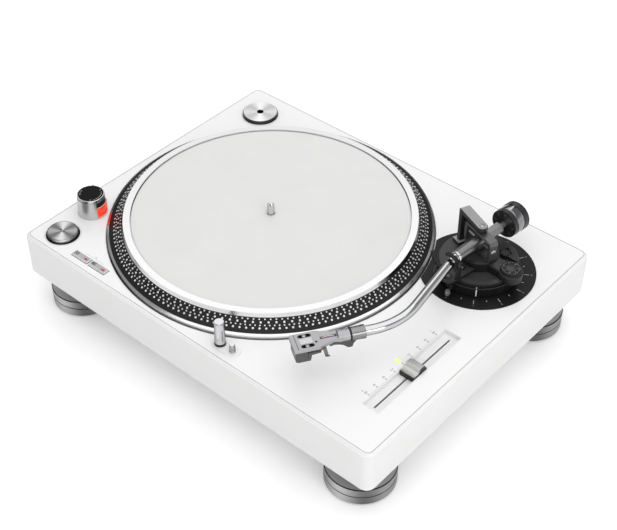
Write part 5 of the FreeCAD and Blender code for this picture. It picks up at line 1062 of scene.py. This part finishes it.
SHAFT = (ARM_PIVOT, ARM_BEARING)
FERRULE = ((5.0, 33.6), (5.75, 33.6), (5.95, 34.0), (5.95, 35.4), (5.7, 35.9), (5.2, 36.4), (5.0, 36.4))
STUB_SLEEVE = ((3.3, -27.1), (3.8, -27.3), (3.8, -28.9), (3.52, -29.1), (3.52, -34.4), (3.3, -34.4))
WEIGHT_BAND = ((14.5, -39.5), (14.85, -39.7), (14.9, -40.1), (14.9, -48.3), (14.8, -48.6), (14.5, -48.7))
DIAL_LIP = ((13.4, -34.75), (14.0, -34.75), (14.3, -35.0), (14.6, -35.4), (14.6, -35.8), (13.4, -35.8))
DIAL_HUB = ((3.6, -34.5), (5.4, -34.5), (5.7, -34.8), (5.7, -35.5), (3.6, -35.5))
GRIP_ROWS, GRIP_PITCH, GRIP_STEPS, GRIP_KNURL = 12, 0.55, 120, 0.35 * MM
FORCE_TICKS = 40
FORCE_NUMBERS = 8


def shaft_ring(name, outline, shaft, body, finish_name, steps=96):
    """A ring turned round a shaft, which a point and a bearing give."""
    seat, bearing = shaft
    turned(name, outline, seat, body, finish_name, steps, True, UP, heading(bearing))


def make_arm_trim():
    """Bright ferrule before the tube, and bright sleeve on the rear stub."""
    shaft_ring("tube_ferrule", FERRULE, SHAFT, "tonearm", "polished_steel", 64)
    shaft_ring("stub_rings", STUB_SLEEVE, SHAFT, "tonearm", "bright_metal", 40)


def make_counterweight():
    """Bright band, knurled rear ring and index line of the counterweight."""
    axis = heading(ARM_BEARING)
    shaft_ring("weight_band", WEIGHT_BAND, SHAFT, "counterweight", "weight_chrome")
    rows = [(15.2, -49.0 - GRIP_PITCH * row) for row in reversed(range(GRIP_ROWS))]
    outline = [(12.6, -56.2), (14.0, -56.1), (14.9, -55.6), *rows, (14.6, -48.7), (12.6, -48.7)]
    mesh = bmesh.new()
    spin_outline(mesh, scaled(outline), ARM_PIVOT, UP, axis, GRIP_STEPS, True)
    low, high, pitch = -55.3 * MM, -48.8 * MM, GRIP_PITCH * MM
    knurl(mesh, ARM_PIVOT, GRIP_STEPS, GRIP_KNURL, low, high, pitch, across=UP, axis=axis)
    piece("weight_grip", mesh, "counterweight", "weight_black", sharp=10)
    mesh = bmesh.new()
    line = ARM_PIVOT + (UP * 14.95 - axis * 44.0) * MM
    add_block(mesh, line, at(8.0, 0.8, 0.1), math.radians(ARM_BEARING))
    piece("weight_index", mesh, "counterweight", "pale_trim")


def make_force_dial():
    """Ticks, digits, lip and hub of the counterweight's dial."""
    axis = heading(ARM_BEARING)
    upright = Matrix((UP.cross(axis), UP, axis)).transposed().to_4x4()
    face = Matrix.Translation(ARM_PIVOT - axis * 35.0 * MM) @ upright
    mesh = bmesh.new()
    for step in range(FORCE_TICKS):
        length = 1.0 if step % 5 else 1.9
        stroke = bmesh.new()
        add_block(stroke, at(0, 13.9 - length / 2, 0.03), at(0.28, length, 0.05))
        merge(mesh, stroke, face @ Matrix.Rotation(math.tau * step / FORCE_TICKS, 4, "Z"))
    piece("force_ticks", mesh, "weight_dial", "grey_print")
    for number in range(FORCE_NUMBERS):
        turn = Matrix.Rotation(-math.tau * number / FORCE_NUMBERS, 4, "Z")
        place = face @ turn @ Matrix.Translation(at(0, 10.4, 0.02))
        lettered(f"force_number_{number}", number, 2.3 * MM, place, "weight_dial", "grey_print")
    shaft_ring("force_dial_lip", DIAL_LIP, SHAFT, "weight_dial", "ring_black")
    shaft_ring("force_dial_hub", DIAL_HUB, SHAFT, "weight_dial", "base_satin", 64)


# Headshell and cartridge


NECK = (TUBE_END, SHELL_BEARING)
SHELL_FRAME = standing(*NECK)
COLLAR_ROWS, COLLAR_PITCH, COLLAR_STEPS, COLLAR_KNURL = 9, 0.5, 80, 0.22 * MM
COLLAR_SEAL = ((4.6, -3.4), (6.45, -3.4), (6.6, -3.1), (6.6, -2.3), (6.45, -2.0), (4.6, -2.0))
SHELL_RING = ((4.6, -1.8), (5.6, -1.8), (5.8, -1.5), (5.8, -1.0), (5.6, -0.7), (4.6, -0.7))
SHELL_TOP = 2.6
LEAD_RADIUS = 0.42 * MM
LOOP_RADIUS, LOOP_WIRE = 1.8, (0.45, 0.4)
LEADS = ((-1.0, "wire_white"), (-0.35, "wire_red"), (0.35, "wire_blue"), (1.0, "wire_green"))
LEAD_LINE = (
    (10.8, 0.9, 0.4), (12.5, 1.0, 1.4), (15.5, 1.0, 2.1), (19.0, 1.0, 2.1), (23.0, 1.0, 1.4),
    (25.0, 1.6, -2.6), (27.0, 2.4, -5.2),
)
SKIRT = (
    (-8.0, -2.0), (21.0, -0.9), (20.0, -2.6), (15.0, -3.6), (9.5, -4.4), (5.0, -6.2), (1.5, -9.4),
    (0.3, -10.4), (-3.0, -10.4), (-4.0, -9.6), (-4.4, -7.0),
)
CARTRIDGE_BLOCKS = (
    ((32.4, 0, -3.0), (13.0, 16.8, 4.4), 0.3),
    ((37.9, 0, -8.0), (0.5, 16.8, 6.0), 0.12),
    ((43.0, 0, -14.3), (10.2, 10.4, 0.5), 0.12),
)


def make_collar():
    """Knurled grip and seal of the locking collar, and the bright ring before the headshell."""
    axis = heading(SHELL_BEARING)
    rows = [(6.45, -16.2 + COLLAR_PITCH * row) for row in range(COLLAR_ROWS)]
    outline = [(5.0, -16.4), (5.8, -16.45), *rows, (6.1, -11.9), (5.0, -11.9)]
    mesh = bmesh.new()
    spin_outline(mesh, scaled(outline), TUBE_END, UP, axis, COLLAR_STEPS, True)
    pitch, grip = COLLAR_PITCH * MM, 6.4 * MM
    knurl(mesh, TUBE_END, COLLAR_STEPS, COLLAR_KNURL, -17.2 * MM, 0.0, pitch, grip, UP, axis)
    piece("collar_grip", mesh, "locking_collar", "collar_metal", sharp=10)
    shaft_ring("collar_seal", COLLAR_SEAL, NECK, "locking_collar", "rubber", 64)
    shaft_ring("shell_ring", SHELL_RING, NECK, "headshell", "polished_steel", 64)


def make_shell_top():
    """Screws and bright flat of the headshell, and dark blocks, flats and discs that paint the shade in its
    slots and groove.
    """
    screws, shade = bmesh.new(), bmesh.new()
    for side in (-6.35, 6.35):
        for reach in (33.6, 41.9):
            add_cone(shade, Matrix.Translation(at(reach, side, SHELL_TOP)), 2.0 * MM, 0.1 * MM, 24)
        add_block(shade, at(37.75, side, SHELL_TOP), at(8.3, 4.0, 0.1))
        add_screw(screws, Matrix.Translation(at(38.2, side, SHELL_TOP)), 2.0 * MM, 0.9 * MM)
        add_block(shade, at(37.75, side, 0.2), at(9.3, 2.5, 4.6), bevel=0.8 * MM)
    piece("cartridge_screws", put(screws, SHELL_FRAME), "headshell", "screw_steel", sharp=30)
    add_block(shade, at(17.4, 0, -0.9), at(14.6, 2.8, 4.2), bevel=0.9 * MM)
    piece("shell_slot_shade", put(shade, SHELL_FRAME), "headshell", "painted_slot_shade")
    mesh = bmesh.new()
    add_block(mesh, at(38.0, 0, 2.68), at(11.5, 6.4, 0.3), bevel=0.12 * MM)
    piece("shell_flat", put(mesh, SHELL_FRAME), "headshell", "shell_bright")
    mesh = bmesh.new()
    add_block(mesh, at(46.9, 0, SHELL_TOP), at(0.5, 19.2, 0.08))
    add_cone(mesh, Matrix.Translation(at(29.4, 3.4, 2.62)), 1.1 * MM, 0.1 * MM, 24)
    piece("shell_groove_shade", put(mesh, SHELL_FRAME), "headshell", "painted_slot_shade")


def make_leads():
    """The four leads from the headshell's slot to the cartridge, their clips, and the loop beside them."""
    for number, (side, colour) in enumerate(LEADS):
        name = f"lead_{number + 1}"
        curve = bpy.data.curves.new(name, "CURVE")
        curve.dimensions = "3D"
        curve.bevel_depth = LEAD_RADIUS
        curve.bevel_resolution = 2
        curve.resolution_u = 6
        line = curve.splines.new("NURBS")
        line.points.add(len(LEAD_LINE) - 1)
        for point, (reach, spread, height) in zip(line.points, LEAD_LINE):
            point.co = (*at(reach, side * spread, height), 1)
        line.order_u = 3
        line.use_endpoint_u = True
        shown(name, meshed(curve, name, SHELL_FRAME), "headshell", colour)
    lying = Matrix.Rotation(math.pi / 2, 4, "Y")
    mesh = bmesh.new()
    for side, _ in LEADS:
        add_cone(mesh, Matrix.Translation(at(26.0, side * 2.5, -4.9)) @ lying, 0.62 * MM, 2.6 * MM, 16)
    for side in (3.4, 6.2):
        add_cone(mesh, Matrix.Translation(at(23.7, side, -5.6)) @ lying, 0.9 * MM, 4.6 * MM, 20, 1.5 * MM)
    piece("lead_clips", put(mesh, SHELL_FRAME), "headshell", "brass_contact")
    mesh = bmesh.new()
    angles = [math.tau * step / 10 for step in range(10)]
    wide, tall = LOOP_WIRE
    wire = [(LOOP_RADIUS + wide * math.cos(angle), tall * math.sin(angle)) for angle in angles]
    spin_outline(mesh, scaled(wire), at(15.6, 4.6, -3.4), UP, BACK, 32, True)
    piece("lead_loop", put(mesh, SHELL_FRAME), "headshell", "lead_blue")


def make_shell_skirt():
    """The dark skirt under the headshell."""
    mesh = bmesh.new()
    add_slab(mesh, scaled(SKIRT), -5.6 * MM, 5.6 * MM, bevel=0.5 * MM)
    upright = Matrix.Rotation(math.pi / 2, 4, "X")
    piece("shell_skirt", put(mesh, SHELL_FRAME @ upright), "headshell", "shell_dark")


def make_cartridge():
    """Steps and seams of the cartridge, and its front face."""
    mesh = bmesh.new()
    for centre, size, bevel in CARTRIDGE_BLOCKS:
        add_block(mesh, at(*centre), at(*size), bevel=bevel * MM)
    piece("cartridge_seams", put(mesh, SHELL_FRAME), "headshell", "base_satin")
    mesh = bmesh.new()
    add_block(mesh, at(49.3, 0, -7.2), at(0.5, 8.6, 5.6), bevel=0.2 * MM)
    piece("cartridge_face", put(mesh, SHELL_FRAME), "headshell", "cartridge_violet")


# Stage


FLOOR_REACH = 6.0
FLOOR_FAR = (0.9, 2.0, 0.7)
CEILING = (0.10, 0.5, 1.0, 0.28)
WALL_SIDE = (-0.65, 0.76, 0.0)
WALL = (0.3, 0.75, 1.0, 0.12)
WHITE = (1, 1, 1, 1)
SENSOR_WIDTH = 36.0
LAMPS = (
    ("overhead_softbox", (0.25, -0.05, 1.7), (0.0, 0.0, 0.05), (2.6, 2.2), 18),
    ("back_softbox", (-1.3, 1.5, 1.7), (0.0, 0.0, 0.05), (1.9, 1.3), 8),
    ("right_softbox", (1.9, -0.6, 0.9), (0.15, -0.1, 0.05), (0.9, 0.9), 6),
    ("front_softbox", (0.95, -1.3, 0.5), (0.2, -0.18, 0.06), (0.5, 0.4), 1.5),
)


def add_pointed(name, data, place, aim):
    """Adds a lamp or a camera at a place, turned to its aim."""
    made = bpy.data.objects.new(name, data)
    bpy.context.scene.collection.objects.link(made)
    made.location = place
    made.rotation_euler = (Vector(aim) - Vector(place)).to_track_quat("-Z", "Y").to_euler()
    return made


def light_the_room(settings):
    """Even light from the room, white to the camera, and darker overhead and on one side in reflections."""
    world = bpy.data.worlds.new("studio")
    bpy.context.scene.world = world
    world.use_nodes = True
    tree = world.node_tree
    room = feed(tree, tree.nodes["Background"], {"Color": WHITE, "Strength": settings.sky_level})
    path = add_node(tree, "LightPath").outputs
    place = add_node(tree, "TexCoord").outputs["Generated"]
    height = add_node(tree, "SeparateXYZ", {0: place}).outputs["Z"]
    toward = add_node(tree, "VectorMath", {0: place, 1: WALL_SIDE}, operation="DOT_PRODUCT")
    ceiling = mapped(tree, height, *CEILING)
    wall = mapped(tree, toward.outputs["Value"], *WALL)
    level = sum_up(tree, "MAXIMUM", sum_up(tree, "MINIMUM", ceiling, wall), path["Is Camera Ray"])
    white = add_node(tree, "Background", {"Color": WHITE, "Strength": level})
    glossy = sum_up(tree, "MAXIMUM", path["Is Camera Ray"], path["Is Glossy Ray"])
    shows = sum_up(tree, "MAXIMUM", glossy, path["Is Transmission Ray"])
    mixed = add_node(tree, "MixShader", {0: shows, 1: room.outputs[0], 2: white.outputs[0]})
    feed(tree, tree.nodes["World Output"], {"Surface": mixed.outputs[0]})


def lay_the_floor(settings):
    """A pale floor that the camera sees lifted towards white, the more so far away."""
    mesh = bmesh.new()
    bmesh.ops.create_grid(mesh, x_segments=1, y_segments=1, size=FLOOR_REACH)
    data = bpy.data.meshes.new("floor")
    mesh.to_mesh(data)
    mesh.free()
    floor = bpy.data.objects.new("floor", data)
    bpy.context.scene.collection.objects.link(floor)
    material = bpy.data.materials.new("pale_floor")
    material.use_nodes = True
    tree = material.node_tree
    shader = tree.nodes["Principled BSDF"]
    feed(tree, shader, {"Base Color": (*settings.floor_colour, 1), "Roughness": 0.9})
    seen = add_node(tree, "LightPath").outputs["Is Camera Ray"]
    reach = add_node(tree, "VectorMath", {0: object_place(tree)}, operation="LENGTH").outputs["Value"]
    near, far, far_lift = FLOOR_FAR
    lift = sum_up(tree, "MULTIPLY", seen, mapped(tree, reach, near, far, settings.floor_lift, far_lift))
    glow = add_node(tree, "Emission", {"Color": WHITE, "Strength": lift})
    both = add_node(tree, "AddShader", {0: shader.outputs[0], 1: glow.outputs[0]})
    feed(tree, tree.nodes["Material Output"], {"Surface": both.outputs[0]})
    data.materials.append(material)


def set_the_stage(settings):
    scene = bpy.context.scene
    scene.view_settings.view_transform = "Standard"
    light_the_room(settings)
    lay_the_floor(settings)
    for name, place, aim, size, power in LAMPS:
        light = bpy.data.lights.new(name, "AREA")
        light.shape = "RECTANGLE"
        light.size, light.size_y = size
        light.energy = power * settings.lamp_power
        add_pointed(name, light, place, aim)
    lens = bpy.data.cameras.new("camera")
    lens.sensor_width = SENSOR_WIDTH
    lens.lens = settings.lens
    lens.clip_start = 0.01
    scene.camera = add_pointed("camera", lens, settings.camera_place, settings.camera_aim)


# Finishes of the solids


SOLID_FINISHES = {
    "white_gloss": ("cabinet",),
    "white_panel": ("top_panel", "light_plate"),
    "plain_white": ("bottom_cover", "fader_tray"),
    "satin_silver": ("strobe_tower",),
    "button_grey": ("speed_button_33", "speed_button_45"),
    "spun_button_painted_sheen": ("start_button",),
    "spun_adapter_painted_sheen": ("adapter_45",),
    "polished_steel": ("target_light", "light_button", "spindle", "bearing_sleeve"),
    "silver_plastic": ("fader_knob", *(f"foot_{corner}" for corner in CORNERS)),
    "dark_metal": ("gimbal_ring", "foot_sockets"),
    "sleeve_metal": ("arm_shaft",),
    "yoke_metal": ("arm_yoke",),
    "base_satin": ("arm_platform", "antiskate_housing", "arm_rest", "lock_lever", "cue_lever"),
    "black_plastic": (
        "arm_base", "height_ring", "antiskate_dial", "arm_clip", "arm_lifter", "start_surround",
        "terminal_panel", "power_inlet", "hinge_sockets", "power_switch", "fader_rail", "stylus_holder",
        "fader_carriage",
    ),
    "disc_black": ("power_dial",),
    "red_lens": ("strobe_window",),
    "green_lens": ("pitch_led",),
    "circuit_board": ("main_board", "power_supply", "control_board"),
    "copper": ("motor_stator",),
    "magnet_grey": ("rotor_magnet",),
    "screw_steel": ("cover_screws",),
    "brass_contact": ("audio_jacks",),
    "light_grey_metal": ("headshell",),
    "arm_chrome": ("arm_tube",),
    "collar_metal": ("locking_collar",),
    "arm_lift": ("finger_lift",),
    "cartridge_grey": ("cartridge",),
    "weight_black": ("counterweight", "weight_dial"),
    "felt": ("platter_mat",),
    "cast_silver": ("platter",),
}


def grey(level):
    return (level, level, level)


def make_deck_finishes(deck):
    """Finishes of the cabinet, its controls, its marks and what is inside it."""
    finish("white_gloss", deck.body_colour, 0.3, coat=0.15, shade=0.003, spread=0.01, relief=0.0)
    finish("white_panel", deck.panel_colour, 0.32, coat=0.1, shade=0.003, spread=0.01, relief=0.0)
    finish("plain_white", grey(0.82), 0.5, relief=0.00003)
    finish("satin_silver", (0.62, 0.62, 0.63), 0.32, 1.0)
    # Polished steel's dark colour on faces turned away is a painted dark reflection.
    finish(
        "polished_steel", (0.70, 0.70, 0.71), 0.10, 1.0, shade=0.01, spread=0.02, relief=0.0,
        edge=(0.07, 0.07, 0.072),
    )
    finish("silver_plastic", (0.56, 0.56, 0.57), 0.38, 0.6)
    finish("dark_metal", (0.16, 0.16, 0.165), 0.34, 0.8)
    finish("black_plastic", (0.008, 0.008, 0.009), 0.42, relief=0.00002, specular=0.25)
    window_finish(deck)
    finish("green_lens", deck.lamp_colour, 0.25, glow=deck.lamp_colour, glow_level=0.8)
    finish("circuit_board", (0.06, 0.22, 0.10), 0.35)
    finish("copper", (0.72, 0.38, 0.2), 0.35, 1.0)
    finish("magnet_grey", (0.12, 0.12, 0.125), 0.6)
    finish("screw_steel", (0.5, 0.5, 0.51), 0.3, 1.0)
    finish("brass_contact", (0.8, 0.62, 0.28), 0.25, 1.0)
    # The start button's and the adapter's light and dark sectors are painted highlight and shade, the
    # button's dark sides a painted dark reflection and the adapter's white top a painted highlight.
    finish(
        "spun_button_painted_sheen", grey(0.88), 0.30, 1.0, relief=0.0, slot="satin_silver", sheen_fan=middle("start_button"),
        sheen_fan_low=0.12, edge=grey(0.05),
    )
    finish(
        "spun_adapter_painted_sheen", grey(0.06), 0.30, 1.0, relief=0.0, slot="satin_silver", sheen_fan=middle("adapter_45"),
        sheen_fan_low=0.55, top=grey(0.98),
    )
    # The feet's bands carry painted highlight and shade in sectors, and a painted dark reflection at their
    # sides.
    for corner in CORNERS:
        finish(
            f"foot_metal_painted_sheen_{corner}", grey(0.86), 0.24, 1.0, relief=0.0, slot="silver_plastic",
            sheen_fan=middle(f"foot_{corner}"), sheen_fan_low=0.12, sheen_fan_turn=FOOT_SHEEN_FAN_TURN, edge=grey(0.30),
        )
    finish("spun_cap", (0.62, 0.62, 0.63), 0.3, 1.0, relief=0.0, anisotropic=0.7, slot="polished_steel")
    finish("disc_black", grey(0.012), 0.55, specular=0.06, slot="black_plastic")
    finish("button_grey", grey(0.8), 0.5, slot="satin_silver", top=grey(0.44))
    finish("pale_print", (0.62, 0.62, 0.63), 0.5, slot="plain_white")
    finish("pale_trim", grey(0.78), 0.4, slot="plain_white")
    finish("grey_print", (0.30, 0.30, 0.31), 0.5, slot="dark_metal")
    finish("dark_print", deck.print_colour, 0.6, specular=0.1, slot="black_plastic")
    finish("frame_peach", (0.85, 0.42, 0.30), 0.4, slot="plain_white")
    finish("seam_grey", grey(0.36), 0.6, slot="plain_white")
    finish("faint_print", (0.50, 0.50, 0.51), 0.5, slot="silver_plastic")
    # Painted shade for the headshell's slots and groove.
    finish("painted_slot_shade", grey(0.006), 0.7, slot="black_plastic")
    finish("rubber", (0.012, 0.012, 0.013), 0.75, relief=0.00004, slot="black_plastic")
    finish("lamp_red", (0.62, 0.05, 0.06), 0.3, slot="red_lens")
    finish("lamp_blue", (0.55, 0.62, 0.95), 0.15, glow=(0.5, 0.6, 1.0), glow_level=0.6, slot="polished_steel")
    finish("fader_metal", (0.60, 0.60, 0.58), 0.30, 0.85, slot="silver_plastic")
    finish("fader_side", (0.02, 0.02, 0.021), 0.35, specular=0.3, slot="black_plastic")
    finish("jack_red", (0.6, 0.02, 0.02), 0.35, slot="red_lens")
    finish("jack_white", grey(0.8), 0.4, slot="plain_white")


def make_platter_finishes(platter):
    """Finishes of the platter and the mat."""
    finish("felt", platter.felt_colour, 0.95, grain=0.0006, shade=0.08, relief=0.0001)
    # The cast silver's dark colour on faces turned away is a painted dark reflection.
    finish("cast_silver", grey(0.84), 0.18, 1.0, spun=PLATTER_AXIS, relief=0.0000002, edge=grey(0.06))
    finish("band_black", platter.band_colour, 0.4, specular=0.25, slot="black_plastic")
    finish("dot_silver", grey(0.86), 0.3, 0.35, slot="cast_silver")


def make_arm_finishes(arm):
    """Finishes of the tonearm, its base, its weight and its headshell."""
    # Each dark edge colour in this function is a painted dark reflection on faces turned away from the view.
    finish("light_grey_metal", arm.shell_colour, 0.42, 0.5, edge=grey(0.10))
    finish("cartridge_grey", (0.085, 0.083, 0.085), 0.4)
    finish("weight_black", (0.02, 0.02, 0.021), 0.3)
    finish(
        "arm_chrome", arm.tube_colour, 0.10, 1.0, shade=0.01, spread=0.02, relief=0.0, slot="polished_steel",
        edge=(0.05, 0.05, 0.052),
    )
    finish("collar_metal", grey(0.30), 0.22, 1.0, slot="polished_steel", edge=grey(0.05))
    finish("bright_metal", grey(0.9), 0.25, 1.0, slot="polished_steel")
    finish("sleeve_metal", (0.25, 0.25, 0.255), 0.28, 1.0, slot="dark_metal", edge=grey(0.10))
    finish("arm_lift", (0.16, 0.16, 0.155), 0.3, 0.8, slot="polished_steel", edge=grey(0.03))
    finish("ring_black", (0.010, 0.010, 0.011), 0.34, specular=0.35, slot="black_plastic")
    # The lighter tops of the satin black parts and of the yoke are painted highlights.
    finish(
        "base_satin", (0.012, 0.012, 0.013), 0.36, relief=0.00002, specular=0.35, slot="black_plastic",
        top=(0.045, 0.045, 0.046),
    )
    finish("yoke_metal", (0.03, 0.03, 0.031), 0.34, 0.3, slot="dark_metal", top=(0.32, 0.32, 0.325))
    finish("base_grey", (0.05, 0.05, 0.052), 0.36, 0.3, slot="dark_metal")
    finish("knob_grey", (0.20, 0.20, 0.205), 0.35, 0.3, slot="dark_metal")
    finish("weight_chrome", (0.32, 0.32, 0.33), 0.12, 1.0, relief=0.0, slot="polished_steel")
    finish("shell_bright", grey(0.66), 0.5, 0.2, slot="light_grey_metal")
    finish("shell_dark", (0.10, 0.10, 0.102), 0.35, 0.6, slot="light_grey_metal")
    finish("lead_blue", (0.22, 0.26, 0.45), 0.35, slot="cartridge_grey")
    finish("cartridge_violet", (0.13, 0.12, 0.15), 0.35, slot="cartridge_grey")
    finish("wire_white", (0.75, 0.75, 0.72), 0.4, slot="plain_white")
    finish("wire_red", (0.62, 0.03, 0.03), 0.4, slot="red_lens")
    finish("wire_blue", (0.05, 0.10, 0.5), 0.4, slot="black_plastic")
    finish("wire_green", (0.03, 0.35, 0.1), 0.4, slot="green_lens")


def dress_the_solids():
    """Gives each solid its finish."""
    for finish_name, nodes in SOLID_FINISHES.items():
        for node in nodes:
            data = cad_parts[node].data
            data.materials.clear()
            data.materials.append(FINISHES[finish_name])


class TURNTABLE_OT_stage(bpy.types.Operator):
    """Makes the floor, the room light, the lamps and the camera"""

    bl_idname = "turntable.stage"
    bl_label = "Stage"

    def execute(self, context):
        set_the_stage(context.scene.turntable_stage)
        return {"FINISHED"}


class TURNTABLE_OT_finishes(bpy.types.Operator):
    """Makes the finishes and gives every solid its own"""

    bl_idname = "turntable.finishes"
    bl_label = "Finishes"

    def execute(self, context):
        make_deck_finishes(context.scene.turntable_deck)
        make_platter_finishes(context.scene.turntable_platter)
        make_arm_finishes(context.scene.turntable_arm)
        dress_the_solids()
        return {"FINISHED"}


class TURNTABLE_OT_platter(bpy.types.Operator):
    """Makes the black band, its raised dots and the felt mat"""

    bl_idname = "turntable.platter"
    bl_label = "Platter"

    def execute(self, context):
        make_platter_marks(context.scene.turntable_platter)
        make_slipmat()
        return {"FINISHED"}


class TURNTABLE_OT_controls(bpy.types.Operator):
    """Makes the panel's seam, and the marks and trim of the tower, the buttons and the target light"""

    bl_idname = "turntable.controls"
    bl_label = "Controls"

    def execute(self, context):
        settings = context.scene.turntable_deck
        make_tower(settings)
        make_start_marks(settings)
        make_speed_marks(settings)
        make_panel_line(settings)
        make_light_post(settings)
        return {"FINISHED"}


class TURNTABLE_OT_fader(bpy.types.Operator):
    """Makes the fader's cap, scale and numbers"""

    bl_idname = "turntable.fader"
    bl_label = "Pitch fader"

    def execute(self, context):
        make_fader_cap()
        make_fader_scale(context.scene.turntable_deck)
        return {"FINISHED"}


class TURNTABLE_OT_rear_and_feet(bpy.types.Operator):
    """Makes the jacks' rings, the ground nut, and the feet's grooves, bands, rims and pads"""

    bl_idname = "turntable.rear_and_feet"
    bl_label = "Rear and feet"

    def execute(self, context):
        make_rear()
        make_feet()
        return {"FINISHED"}


class TURNTABLE_OT_arm_base(bpy.types.Operator):
    """Makes the height scale, the knurled ring and the platform's details"""

    bl_idname = "turntable.arm_base"
    bl_label = "Arm base"

    def execute(self, context):
        make_height_scale()
        make_height_ring(context.scene.turntable_arm)
        make_arm_screws()
        make_antiskate()
        make_knob_caps()
        return {"FINISHED"}


class TURNTABLE_OT_arm(bpy.types.Operator):
    """Makes the arm's trim, the counterweight's band and grip, and its dial's numbers"""

    bl_idname = "turntable.arm"
    bl_label = "Arm and counterweight"

    def execute(self, context):
        make_arm_trim()
        make_counterweight()
        make_force_dial()
        return {"FINISHED"}


class TURNTABLE_OT_headshell(bpy.types.Operator):
    """Makes the collar's grip, the headshell's fittings and the cartridge's details"""

    bl_idname = "turntable.headshell"
    bl_label = "Headshell and cartridge"

    def execute(self, context):
        make_collar()
        make_shell_top()
        make_leads()
        make_shell_skirt()
        make_cartridge()
        return {"FINISHED"}


GROUP_CLASSES = (
    ("turntable_stage", StageSettings),
    ("turntable_deck", DeckSettings),
    ("turntable_platter", PlatterSettings),
    ("turntable_arm", ArmSettings),
)
OPERATORS = (
    TURNTABLE_OT_stage,
    TURNTABLE_OT_finishes,
    TURNTABLE_OT_platter,
    TURNTABLE_OT_controls,
    TURNTABLE_OT_fader,
    TURNTABLE_OT_rear_and_feet,
    TURNTABLE_OT_arm_base,
    TURNTABLE_OT_arm,
    TURNTABLE_OT_headshell,
)


class TURNTABLE_PT_panel(bpy.types.Panel):
    """Lists the steps and the settings of the turntable"""

    bl_idname = "TURNTABLE_PT_panel"
    bl_label = "Turntable"
    bl_space_type = "VIEW_3D"
    bl_region_type = "UI"
    bl_category = "Turntable"

    def draw(self, context):
        for name, group in GROUP_CLASSES:
            box = self.layout.box()
            box.label(text=group.__doc__)
            for prop in group.__annotations__:
                box.prop(getattr(context.scene, name), prop)
        for operator in OPERATORS:
            self.layout.operator(operator.bl_idname)


def register():
    for name, group in GROUP_CLASSES:
        bpy.utils.register_class(group)
        setattr(bpy.types.Scene, name, bpy.props.PointerProperty(type=group))
    for kind in (*OPERATORS, TURNTABLE_PT_panel):
        bpy.utils.register_class(kind)


def unregister():
    for kind in (TURNTABLE_PT_panel, *reversed(OPERATORS)):
        bpy.utils.unregister_class(kind)
    for name, group in reversed(GROUP_CLASSES):
        delattr(bpy.types.Scene, name)
        bpy.utils.unregister_class(group)


def main():
    register()
    bpy.ops.turntable.stage()
    bpy.ops.turntable.finishes()
    bpy.ops.turntable.platter()
    bpy.ops.turntable.controls()
    bpy.ops.turntable.fader()
    bpy.ops.turntable.rear_and_feet()
    bpy.ops.turntable.arm_base()
    bpy.ops.turntable.arm()
    bpy.ops.turntable.headshell()


if __name__ == "__main__":
    main()
